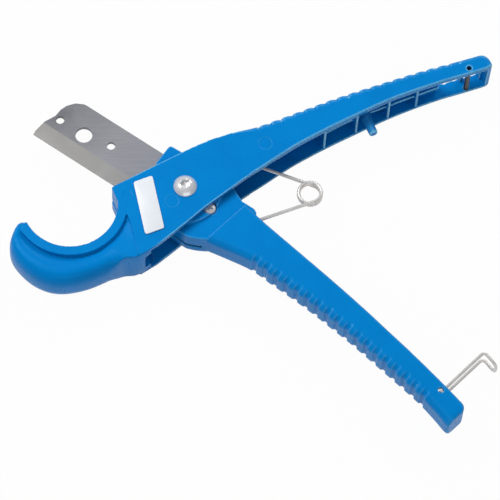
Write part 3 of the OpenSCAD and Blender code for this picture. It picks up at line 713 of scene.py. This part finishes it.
def settle_on_hook(obj, rings):
    """Moves the remeshed points that lie within a voxel of the hook's fine skin on to it."""
    n = len(rings[0])
    faces = [(i * n + j, i * n + j + 1, (i + 1) * n + j + 1, (i + 1) * n + j)
             for i in range(len(rings) - 1) for j in range(n - 1)]
    tree = BVHTree.FromPolygons([Vector(point) * MM for ring in rings for point in ring], faces)
    places = places_of(obj.data)
    for i in np.nonzero(near_hook(places))[0]:
        nearest = tree.find_nearest(Vector(places[i].tolist()), VOXEL * MM)[0]
        if nearest is not None:
            places[i] = nearest
    put_places(obj.data, places)


def near_hook(places):
    """Which points lie outside the jaw's bore and along the hook."""
    x, y = places[:, 0] / MM - JAW[0], places[:, 1] / MM - JAW[1]
    angle = np.degrees(np.arctan2(y, x)) % 360
    along = (angle > LIP_ANGLE - TIP_ROUND) & (angle < HOOK_END)
    return (np.hypot(x, y) > JAW_R + OVER) & along


def tube(name, path, radius, sides=20):
    """Wire along a path of points in metres, each ring turned as little as it can be."""
    verts = []
    side = Vector((0.3, 0.5, 0.8))
    for i, point in enumerate(path):
        ahead = (path[min(i + 1, len(path) - 1)] - path[max(i - 1, 0)]).normalized()
        side = (side - side.dot(ahead) * ahead).normalized()
        other = ahead.cross(side)
        for k in range(sides):
            angle = 2 * pi * k / sides
            verts.append(point + radius * (cos(angle) * side + sin(angle) * other))
    mesh = bpy.data.meshes.new(name)
    mesh.from_pydata(verts, [], ring_faces(len(path), sides))
    shaded(mesh, sharp=60)
    return linked(name, mesh)


def turned_piece(name, profile, sides=96):
    """A piece turned about Z from (radius, level, corners); six corners make a ring hexagonal."""
    rings = []
    for radius, level, corners in profile:
        ring = []
        for k in range(sides):
            angle = 2 * pi * k / sides
            reach = radius
            if corners:
                off = (angle + pi / corners) % (2 * pi / corners) - pi / corners
                reach = radius / cos(off)
            ring.append((reach * cos(angle), reach * sin(angle), level))
        rings.append(ring)
    piece = skin(rings, name)
    shaded(piece.data, sharp=40)
    return piece


# Pieces

def back_y(x):
    return BACK_RISE * curve(BACK, x / HANDLE_LEN)


def rim_y(x):
    return BACK_RISE * curve(RIM, x / HANDLE_LEN)


def roof_y(x):
    return back_y(x) - BACK_WALL - RIDGE_H * smooth_step((x - JOIN_X) / JOIN_X)


def outer_y(x):
    return LEVER_RISE * curve(OUTER, x / LEVER_LEN)


def inner_y(x):
    return LEVER_RISE * curve(INNER, x / LEVER_LEN)


def handle_ring(x, low, high, half, fillet, bevel, drop=0):
    """Section of a handle: low is its open edge, lower by drop in front, and high its back."""
    side = 1 if high > low else -1
    arc = [radians(a) for a in range(0, 91, 15)]
    front = [(x, high - side * fillet * (1 - sin(a)), MID + half - fillet * (1 - cos(a)))
             for a in arc]
    rear = [(x, y, 2 * MID - z) for x, y, z in front[::-1]]
    lip = low - drop
    return ([(x, lip, MID + half - bevel), (x, lip + side * bevel, MID + half)] + front + rear
            + [(x, low + side * bevel, MID - half), (x, low, MID - half + bevel)])


def ridge_dip(u):
    """How far the back lies below a ridge's top, at a share of the ridge's pitch."""
    rising = smooth_step((u - RIDGE_RISE) / (1 - RIDGE_RISE))
    return RIDGE_H * max(1 - smooth_step(u / RIDGE_FALL), rising)


def groove_dip(u):
    """Depth of a groove at a share of the grooves' pitch."""
    return GROOVE_H * smooth_step(u / GROOVE_SLOPE) * smooth_step((GROOVE_W - u) / GROOVE_SLOPE)


def rim_drop(x):
    """How much lower the front rim lies than the rear one."""
    lift = LIFT_SHARE * smooth_step((x - LIFT_START) / LIFT_LENGTH)
    return RIM_DROP * smooth_step((x - DROP_START) / DROP_LENGTH) * (1 - lift)


def end_steps(length, radius, steps=8):
    """Places along a handle's rounded end, each with how far its outline has come in there."""
    return [(length - radius * (1 - sin(t)), radius * (1 - cos(t)))
            for t in spread(0, pi / 2, steps)]


def patterned(span, count, steps, dip):
    """Places along a row of ridges or grooves, each with its dip."""
    return [(lerp(*span, i / (count * steps)), dip(i / steps % 1)) for i in range(count * steps)]


def handle_rings(step=0.8, ridge_steps=16, end_places=14):
    """Rings along the upper handle, with its ridges and its rounded end."""
    first, last = (share * HANDLE_LEN for share in RIDGE_SPAN)
    start, end = JOIN_X - 2 * CORNER, HANDLE_LEN - END_ROUND
    places = [(start + i * step, 0) for i in range(int((first - start) / step))]
    places += patterned((first, last), RIDGES, ridge_steps, ridge_dip)
    places += [(lerp(last, end, (i + 0.5) / end_places), 0) for i in range(end_places)]
    rings = []
    for x, dip in places:
        fillet = lerp(RIM_BEVEL, BACK_FILLET, smooth_step((x - JOIN_X) / (first - JOIN_X)))
        half = MID - INSET - HANDLE_DRAFT * max(x - JOIN_X, 0) / (HANDLE_LEN - JOIN_X)
        rings.append(handle_ring(x, rim_y(x) + INSET, back_y(x) - INSET - dip, half, fillet,
                                 RIM_BEVEL, rim_drop(x)))
    for x, inward in end_steps(HANDLE_LEN, END_ROUND):
        rings.append(handle_ring(x, rim_y(x) + INSET + inward / 4, back_y(x) - INSET - inward,
                                 MID - INSET - HANDLE_DRAFT - inward / 4, BACK_FILLET,
                                 RIM_BEVEL, rim_drop(x)))
    return rings


def cheek_outline(steps=40):
    """The cheeks' back, their rim from the join as far as the jaw, and their left side."""
    back = [(x, back_y(x)) for x in spread(JAW[0] + MOUTH_SIDE, JOIN_X, steps)]
    rim = [(x, rim_y(x)) for x in spread(-RIM_START * JAW_BACK, JOIN_X, steps)[:2:-1]]
    left = [(p[0] * JAW_BACK, p[1] * BACK_RISE) for p in CHEEK]
    return rounded(back + rim + left, CORNER)


def lip_outline(steps=75):
    """The thin lip along the inside of the hook, from the bore outwards."""
    first, sweep = radians(LIP_ANGLE), radians(LIP_SWEEP)
    outer = circle(JAW, JAW_R + LIP_W, steps, first, sweep)
    inner = circle(JAW, JAW_R - OVER / 2, steps, first, sweep)
    return rounded(outer + inner[::-1], LIP_ROUND)


def stop_line():
    """Where the lever's stop edge starts, its way along, and its way out, in the lever's frame."""
    start, end = (Vector(p) * HEAD_R for p in STOP_EDGE)
    along = (end - start).normalized()
    return start, along, Vector((along.y, -along.x))


def body_channel():
    """The space in the handle and between the cheeks, slanted for the lever's stop, as cutters."""
    edge, along, out = stop_line()
    start = turned((*(edge + REST_GAP * out), 0), -OPEN_ANGLE)
    way = turned((*along, 0), -OPEN_ANGLE)
    lean = way.x / way.y
    top_x = start.x + lean * (BACK_RISE - start.y)
    low_x = start.x + lean * (roof_y(top_x) - start.y)
    far = HANDLE_LEN - END_WALL
    roof = [(x, roof_y(x)) for x in spread(low_x, far, steps=60)]
    open_y = 2 * BACK_RISE
    outline = [(THROAT_X, -open_y), (far, -open_y)] + roof[::-1] + [
        (start.x + lean * (open_y - start.y), open_y), (THROAT_X, open_y)]
    between_cheeks = [(min(p[0], CHEEK_END), p[1]) for p in outline]
    return (prism(outline, REAR_WALL, BODY_T - HANDLE_WALL),
            prism(between_cheeks, CHEEK_WALL, BODY_T - CHEEK_WALL))


def blade_slot():
    """The slot in the throat that the closing blade passes through, as a cutter."""
    reach = sqrt(BLADE_REACH ** 2 + EDGE_DROP ** 2) + SLOT_END
    side, floor_y = THROAT_X + OVER, -EDGE_DROP - SLOT_FLOOR
    first = acos(side / reach)
    last = pi + asin(-floor_y / reach)
    outline = circle((0, 0), reach, sides=60, first=first, sweep=last - first)
    outline.append((side, floor_y))
    half = BLADE_T / 2 + SLOT_GAP
    return prism(outline, BLADE_MID - half, BLADE_MID + half)


def body_windows():
    """The two windows and the room under the bar between them, as cutters."""
    levels = (REAR_WALL, BODY_T - HANDLE_WALL - WINDOW_EDGE)
    cutters = []
    for first, last in WINDOWS:
        x0, x1 = first * HANDLE_LEN, last * HANDLE_LEN
        sides = (roof_y(x1) - WINDOW_EDGE, BACK_RISE + OVER)
        cutters.append(block((x0, x1), sides, levels))
    x0, x1 = WINDOWS[0][1] * HANDLE_LEN - OVER, WINDOWS[1][0] * HANDLE_LEN + OVER
    sides = (roof_y(x0) - OVER, back_y((x0 + x1) / 2) - BAR_T)
    cutters.append(block((x0, x1), sides, levels))
    return cutters


def body_ribs():
    """The handle's cross ribs, from just above its rim into its roof and walls."""
    levels = (REAR_WALL - LAP, BODY_T - HANDLE_WALL + LAP)
    return [block((x - RIB_T / 2, x + RIB_T / 2), (rim_y(x) + REST_GAP, roof_y(x) + LAP), levels)
            for x in (share * HANDLE_LEN for share in RIBS)]


def body_web():
    """The web along the middle of the handle, with a small step down at its end."""
    first, last = RIBS[0] * HANDLE_LEN, WEB_END * HANDLE_LEN
    xs = spread(first, last, steps=40)
    edge = [(min(x, last - WEB_STEP), BACK_RISE * curve(WEB, x / HANDLE_LEN)) for x in xs[:-1]]
    outline = edge + [(x, roof_y(x) + ROOT_LAP) for x in xs[::-1]]
    return prism(outline, MID - WEB_T / 2, MID + WEB_T / 2)


def body_peg():
    """The round peg that stands out below the handle's rim."""
    x = PEG * HANDLE_LEN
    foot = rim_y(x) - PEG_REACH
    steps = [(roof_y(x) + ROOT_LAP, PEG_ROOT_R)] + [(foot + up, radius) for up, radius in PEG_END]
    return skin([[(p[0], y, p[1]) for p in circle((x, MID), radius, sides=40)]
                 for y, radius in steps])


def throat_notch():
    """The notch at the foot of the wall behind the throat, as a cutter."""
    foot = rim_y(THROAT_X)
    return block((THROAT_X - NOTCH_DEPTH, THROAT_X + OVER),
                 (foot + NOTCH_SIDE[0], foot + NOTCH_SIDE[1]), NOTCH_LEVELS)


def sink_marks(obj):
    """Presses the mould's faint round marks into the front cheek."""
    places = places_of(obj.data)
    front = places[:, 2] > (BODY_T - MARK_SKIN) * MM
    for x, y, width in MARKS:
        away = np.hypot(places[:, 0] / MM - x * JAW_BACK, places[:, 1] / MM - y * BACK_RISE)
        sunk = np.clip((width * BACK_RISE / 2 - away) / MARK_SLOPE, 0, 1)
        places[:, 2] -= np.where(front, MARK_DEPTH * MM * sunk, 0).astype(np.float32)
    put_places(obj.data, places)


def make_body(material):
    """One moulding: hooked jaw, two cheeks and the channelled handle."""
    rings = hook_rings()
    body = prism(cheek_outline(), 0, BODY_T)
    combined(body, "UNION", prism(lip_outline(), 0, BODY_T), skin(rings), skin(handle_rings()))
    mouth = [p for p in circle(JAW, JAW_R, sides=256) if p[0] < JAW[0] + MOUTH_SIDE]
    cutters = [prism(mouth, -OVER, BODY_T + OVER), *body_channel(), blade_slot()]
    cutters += body_windows()
    cutters.append(throat_notch())
    cutters.append(prism(circle(PIN_AT, PIN_D / 2, sides=40), -OVER, BODY_T + OVER))
    cutters.append(prism(circle((0, 0), SLEEVE_R + FIT_GAP), -OVER, BODY_T + OVER))
    cutters.append(prism(circle((0, 0), FLANGE_SEAT_R), -OVER, FLANGE_SEAT))
    combined(body, "DIFFERENCE", *cutters)
    combined(body, "UNION", *body_ribs(), body_web(), body_peg())
    moulded(body, "jaw_moulding")
    settle_on_hook(body, rings)
    sink_marks(body)
    return finished(body, "body", material, "jaw_body")


def lever_rings(start_places=30, groove_steps=24, end_places=12):
    """Rings along the lever's handle, with its grooves and its rounded end."""
    start = HANDLE_START * HEAD_R
    first, last = (share * LEVER_LEN for share in GROOVE_SPAN)
    end, half = LEVER_LEN - LEVER_END, LEVER_T / 2
    places = [(lerp(start, first, i / start_places), 0) for i in range(start_places)]
    places += patterned((first, last), GROOVES, groove_steps, groove_dip)
    places += [(lerp(last, end, (i + 0.5) / end_places), 0) for i in range(end_places)]
    rings = [handle_ring(x, inner_y(x), outer_y(x) + dip, half, LEVER_FILLET, LEVER_BEVEL)
             for x, dip in places]
    for x, inward in end_steps(LEVER_LEN, LEVER_END):
        rings.append(handle_ring(x, inner_y(x) - inward, outer_y(x) + inward / 4,
                                 half - inward / 3, LEVER_FILLET, LEVER_BEVEL))
    return rings


def clipped_disc(radius):
    """Outline of a disc round the pivot, cut off just inside the stop edge."""
    start, _, out = stop_line()
    reach = start.dot(out) - REST_GAP
    points = [Vector(point) for point in circle((0, 0), radius, sides=160)]
    return [tuple(point - max(point.dot(out) - reach, 0) * out) for point in points]


def lever_channel():
    """The hollow of the lever's handle and the pocket in its head, as a cutter."""
    x0, x1, floor_y = POCKET
    x2 = LEVER_LEN - END_WALL - LEVER_BEVEL
    top = 2 * LEVER_RISE
    floor = [(x, min(outer_y(x) + GROOVE_H + BACK_WALL, inner_y(x) - RIB_DROP))
             for x in spread(x1, x2, steps=50)]
    outline = [(x0, top), (x0, floor_y), (x1, floor_y)] + floor + [(x2, top)]
    half = LEVER_T / 2 - LEVER_WALL
    return prism(outline, MID - half, MID + half)


def blade_seat():
    """The flat pocket in the lever's head that the blade's root lies in, as a cutter."""
    left, foot, far = -ROOT_LEN - SEAT_GAP, -SPINE_DROP - SEAT_GAP, 2 * HEAD_R
    corners = [(left, foot), (far, foot), (far, far), (left, far)]
    outline = [tuple(turned((*p, 0), BLADE_TURN + OPEN_ANGLE))[:2] for p in corners]
    half = BLADE_T / 2 + FIT_GAP
    return prism(outline, BLADE_MID - half, BLADE_MID + half)


def lever_bores():
    """Holes for the blade's screw, its head and nut, the sleeve and the latch, as cutters."""
    head_top, head_foot = MID + HEAD_T / 2 + BEARING_H, MID - HEAD_T / 2
    return [prism(circle(SCREW_AT, SCREW_R + FIT_GAP, sides=32), 0, BODY_T),
            prism(circle(SCREW_AT, SEAT_R), head_top - SEAT_DEPTH - FIT_GAP, BODY_T),
            prism(circle(SCREW_AT, SEAT_R, sides=6), 0, head_foot + NUT_DEPTH),
            prism(circle((0, 0), SLEEVE_R + TURN_GAP), 0, BODY_T),
            prism(circle(latch_hinge(), LATCH_HOLE / 2, sides=40), 0, BODY_T)]


def lever_ribs():
    """Cross ribs in the hollow of the lever's handle."""
    half = LEVER_T / 2 - LEVER_WALL + LAP
    ribs = []
    for share in LEVER_RIBS:
        x = share * LEVER_LEN
        foot = outer_y(x) + GROOVE_H + BACK_WALL / 2
        ribs.append(block((x, x + RIB_T), (foot, inner_y(x) - RIB_DROP), (MID - half, MID + half)))
    return ribs


def latch_hinge():
    """Where the latch's feet turn, in the lever's frame."""
    x = LATCH_SHARE * LEVER_LEN
    return (x, inner_y(x) - LATCH_DROP)


def make_lever(material):
    """One moulding: the head that carries the blade, and the channelled handle."""
    low, high = MID - HEAD_T / 2, MID + HEAD_T / 2
    lever = prism(clipped_disc(NOSE * HEAD_R), low, high)
    corner = rounded([(p[0] * HEAD_R, p[1] * HEAD_R) for p in list(STOP_EDGE) + HEAD], CORNER)
    bump = rounded([(p[0] * HEAD_R, p[1] * HEAD_R) for p in BUMP], BUMP_ROUND)
    combined(lever, "UNION", prism(corner, low, high), prism(bump, low, high),
             prism(clipped_disc(BEARING_R), MID, high + BEARING_H), skin(lever_rings()))
    combined(lever, "DIFFERENCE", lever_channel(), blade_seat(), *lever_bores())
    combined(lever, "UNION", *lever_ribs())
    moulded(lever, "lever_moulding")
    lever.data.transform(Matrix.Rotation(-OPEN_ANGLE, 4, "Z"))
    return finished(lever, "lever", material, "lever_handle")


def blade_outline():
    """The blade from its edge round its tip and spine to its root."""
    outline = [(p[0] * BLADE_REACH, p[1] * EDGE_DROP) for p in TIP_EDGE]
    outline += [(p[0] * BLADE_REACH, -p[1] * SPINE_DROP) for p in TIP_SPINE]
    outline += [(-p[0] * ROOT_LEN, -p[1] * SPINE_DROP) for p in ROOT_CORNERS]
    return outline + [(-ROOT_LEN, EDGE_DROP)]


def blade_grinding():
    """What grinding takes off both faces beside the edge, as cutters."""
    start, end, past = EDGE_DROP - GRIND_W, EDGE_DROP - EDGE_W, EDGE_DROP + OVER
    section = [(start, BLADE_T / 2), (end, EDGE_BACK), (EDGE_DROP, EDGE_FRONT),
               (past, EDGE_FRONT), (past, BLADE_T), (start, BLADE_T)]
    return [skin([[(x, y, side * z) for y, z in section]
                  for x in (-ROOT_LEN - OVER, BLADE_REACH + 2 * OVER)]) for side in (1, -1)]


def make_blade(material):
    """The ground plate with its holes; its flat faces stay flat in the light."""
    blade = prism(blade_outline(), -BLADE_T / 2, BLADE_T / 2)
    cutters = [prism(circle((x, y), d / 2), -BLADE_T, BLADE_T) for x, y, d in HOLES]
    cutters.append(prism(circle((0, 0), SLEEVE_R + TURN_GAP), -BLADE_T, BLADE_T))
    combined(blade, "DIFFERENCE", *cutters, *blade_grinding())
    blade.name = "blade_ground"
    for face in blade.data.polygons:
        face.use_smooth = abs(face.normal.z) < FLAT_FROM
    blade.data.set_sharp_from_angle(angle=radians(30))
    blade.data.transform(Matrix.Rotation(BLADE_TURN, 4, "Z"))
    blade.data.transform(Matrix.Translation((0, 0, BLADE_MID * MM)))
    return finished(blade, "lever", material, "blade")


def make_plate(material):
    """The bare raised plate, leaning with the edge of the throat."""
    width, height, thick = PLATE
    lean = PLATE_LEAN * height / 2
    outline = [(-width / 2 - lean, -height / 2), (width / 2 - lean, -height / 2),
               (width / 2 + lean, height / 2), (-width / 2 + lean, height / 2)]
    at = (PLATE_AT[0] * JAW_BACK, PLATE_AT[1] * BACK_RISE)
    outline = [(p[0] + at[0], p[1] + at[1]) for p in rounded(outline, PLATE_ROUND)]
    plate = prism(outline, BODY_T, BODY_T + thick, "bare_plate")
    return finished(bevelled(plate, 0.15), "body", material, "name_plate")


def make_pin(material):
    """The black pin across the end of the handle."""
    low, high, radius = PIN_SUNK_BEHIND, BODY_T - PIN_SUNK, PIN_D / 2
    profile = [(radius - PIN_CHAMFER, low), (radius, low + PIN_CHAMFER),
               (radius, high - PIN_CHAMFER), (radius - PIN_CHAMFER, high)]
    rings = [[(*p, z) for p in circle(PIN_AT, r, sides=32)] for r, z in profile]
    pin = skin(rings, "latch_black_pin")
    shaded(pin.data, sharp=38)
    return finished(pin, "body", material, "latch_pin")


def spring_paths():
    """The upper leg, the coil and the lower leg, each as a list of points."""
    start = UPPER_LEG_ANGLE - pi / 2
    sweep = start - (LOWER_LEG_ANGLE - 3 * pi / 2) + 2 * pi * COIL_TURNS
    rise = COIL_STEP * sweep / (2 * pi)
    rings, steps = 36 * COIL_TURNS, 12
    centre = Vector((*COIL_CENTRE, 0))
    coil = []
    for i in range(rings + 1):
        angle = start - sweep * i / rings
        level = MID - rise / 2 + rise * i / rings
        coil.append((centre + Vector((COIL_R * cos(angle), COIL_R * sin(angle), level))) * MM)
    upper_way = Vector((cos(UPPER_LEG_ANGLE), sin(UPPER_LEG_ANGLE), 0)) * UPPER_LEG * MM
    lower_way = Vector((cos(LOWER_LEG_ANGLE), sin(LOWER_LEG_ANGLE), 0)) * LOWER_LEG * MM
    upper = [coil[0] + upper_way * (1 - i / steps) for i in range(steps + 1)]
    lower = [coil[-1] + lower_way * (i / steps) for i in range(steps + 1)]
    return upper, coil, lower


def make_spring(material):
    """Three pieces of wire: the upper leg, the coil and the lower leg."""
    upper, coil, lower = spring_paths()
    up = Vector((0, 0, 1))
    ways = {
        "spring_upper_leg": (upper, upper[0], 2 * upper[-1] - upper[0]),
        "spring_coil": (coil, coil[0].lerp(coil[-1], 0.5) - up, coil[0].lerp(coil[-1], 0.5) + up),
        "spring_lower_leg": (lower, 2 * lower[0] - lower[-1], lower[-1]),
    }
    for name, (path, start, end) in ways.items():
        piece = tube(name, path, SPRING_WIRE / 2 * MM)
        piece.data.materials.append(material)
        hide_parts("spring")
        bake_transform(piece)


def latch_half():
    """Half of the latch's wire in its own plane, from the middle of its loop to its foot."""
    inset = LATCH_BEND * tan(LATCH_TURN / 2)
    lean = pi / 2 - LATCH_TURN
    centre = Vector((LATCH_BEND, LATCH_LEG - inset, 0))
    way = Vector((cos(lean), sin(lean), 0))
    heel = centre + LATCH_BEND * Vector((cos(lean + pi / 2), sin(lean + pi / 2), 0))
    tip = heel + (LATCH_HOOK - inset) * way
    path = []
    for a in spread(0, pi / 2, steps=8):
        path.append(tip - LATCH_LOOP * (1 - cos(a)) * way
                    + Vector((0, 0, LATCH_HALF - LATCH_LOOP * (1 - sin(a)))))
    for a in spread(pi / 2 + lean, pi / 2 + lean + LATCH_TURN, steps=10):
        path.append(centre + Vector((LATCH_BEND * cos(a), LATCH_BEND * sin(a), LATCH_HALF)))
    for a in spread(0, pi / 2, steps=8):
        path.append(Vector((0, LATCH_BEND * (1 - sin(a)), LATCH_HALF + LATCH_BEND * (1 - cos(a)))))
    return path + [Vector((0, 0, LATCH_REACH))]


def make_latch(material):
    """The bail of one wire that turns on the lever's end."""
    half = latch_half()
    path = [Vector((p.x, p.y, -p.z)) for p in half[::-1]] + half
    hinge = turned((*latch_hinge(), 0), -OPEN_ANGLE) + Vector((0, 0, MID))
    wire = tube("latch_wire", [(turned(p, -OPEN_ANGLE) + hinge) * MM for p in path],
                LATCH_WIRE / 2 * MM)
    return finished(wire, "latch", material, "latch_hook")


def dome_height(r):
    """Height of the pivot screw's dome above the cheek at a distance from its axis."""
    radius = (SCREW_HEAD_R ** 2 + SCREW_HEAD_H ** 2) / (2 * SCREW_HEAD_H)
    return SCREW_HEAD_H * DOME_SHARE - radius + sqrt(radius ** 2 - r ** 2)


def make_pivot_screw(material):
    """Domed head with a six-sided socket, on its shank."""
    floor = SCREW_HEAD_H - SOCKET_DEPTH
    profile = [(r, level, 0) for r, level in SHANK]
    profile += [(r, dome_height(r), 0) for r in (SCREW_HEAD_R, *DOME_RADII)]
    profile += [(SOCKET_R * share, dome_height(SOCKET_R * dome_share) - drop, 6)
                for share, dome_share, drop in SOCKET_MOUTH]
    profile += [(SOCKET_R, floor, 6), (SOCKET_R * SOCKET_TIP_SHARE, floor - SOCKET_TIP, 0)]
    screw = turned_piece("pivot_dome", profile)
    screw.data.transform(Matrix.Translation((0, 0, BODY_T * MM)))
    return finished(screw, "body", material, "pivot_screw")


def make_copies(zinc):
    """Blade screw, its nut and the sleeve, as bevelled copies of their solids."""
    for node, name, body, bevel, lift in COPIES:
        piece = finished(copied(node, name, bevel), body, zinc, node)
        piece.data.transform(Matrix.Translation((0, 0, lift * MM)))


def make_tool():
    """All pieces, in the finishes that they share."""
    zinc = mottled("zinc_steel", 200, (229, 230, 234), (236, 237, 240), (0.33, 0.3795), 0.6)
    wire = mottled("spring_wire", 200, (218, 215, 212), (228, 225, 222), (0.25, 0.2875), 0.4)
    make_body(blue_plastic("blue_plastic", wear_and_highlight=1.0))
    make_lever(blue_plastic("blue_plastic_lever", wear_and_highlight=0.25))
    make_spring(wire)
    make_latch(wire)
    make_pivot_screw(zinc)
    make_blade(blade_steel())
    make_plate(mottled("plate_white", 220, (232, 237, 244), (235, 240, 246), (0.32, 0.36)))
    make_pin(mottled("black_steel", 900, (16, 15, 15), (34, 31, 30), (0.35, 0.5)))
    make_copies(zinc)


# Surroundings

def white_floor():
    """White where the camera or a reflection sees it, with the tool's shadow kept."""
    s = Shader("floor")
    grey = (FLOOR_GREY, FLOOR_GREY, FLOOR_GREY, 1)
    s.plain(Base_Color=grey, Roughness=0.9, Specular_IOR_Level=0.1)
    glow = s.add("ShaderNodeEmission", {"Color": (1, 1, 1, 1), "Strength": 1.0})
    path = s.add("ShaderNodeLightPath")
    seen = s.math("MAXIMUM", path.outputs["Is Camera Ray"], path.outputs["Is Glossy Ray"])
    seen = s.math("MAXIMUM", seen, path.outputs["Is Transmission Ray"])
    share = s.math("MULTIPLY", seen, FLOOR_WHITE)
    mixed = s.add("ShaderNodeMixShader", {"Fac": share, 1: s.bsdf.outputs[0], 2: glow.outputs[0]})
    s.tree.links.new(mixed.outputs[0], s.tree.nodes["Material Output"].inputs["Surface"])
    return s.material


def make_surroundings():
    """The floor that the tool lies on, and an even white sky."""
    mesh = bpy.data.meshes.new("floor")
    low, high = -FLOOR_HALF, FLOOR_HALF
    corners = [(low, low, 0), (high, low, 0), (high, high, 0), (low, high, 0)]
    mesh.from_pydata(corners, [], [(0, 1, 2, 3)])
    floor = linked("floor", mesh)
    mesh.materials.append(white_floor())
    world = bpy.data.worlds.new("studio")
    bpy.context.scene.world = world
    world.use_nodes = True
    sky = world.node_tree.nodes["Background"]
    sky.inputs["Color"].default_value = (1, 1, 1, 1)
    sky.inputs["Strength"].default_value = SKY_STRENGTH


def area_light(name, place, size, power):
    """A soft light aimed at the tool, from a place right, up and above in the photograph."""
    data = bpy.data.lights.new(name, "AREA")
    data.shape = "RECTANGLE"
    data.size, data.size_y = size
    data.energy = power
    lamp = bpy.data.objects.new(name, data)
    way = turned(place, TOOL_TURN)
    lamp.matrix_world = (Matrix.Translation(Vector(LAMP_AIM) + way)
                         @ (-way).to_track_quat("-Z", "Y").to_matrix().to_4x4())
    bpy.context.collection.objects.link(lamp)


make_camera()
make_surroundings()
for name, (place, size, power) in LAMPS.items():
    area_light(name, place, size, power)
make_tool()
bpy.context.scene.view_settings.view_transform = "Standard"
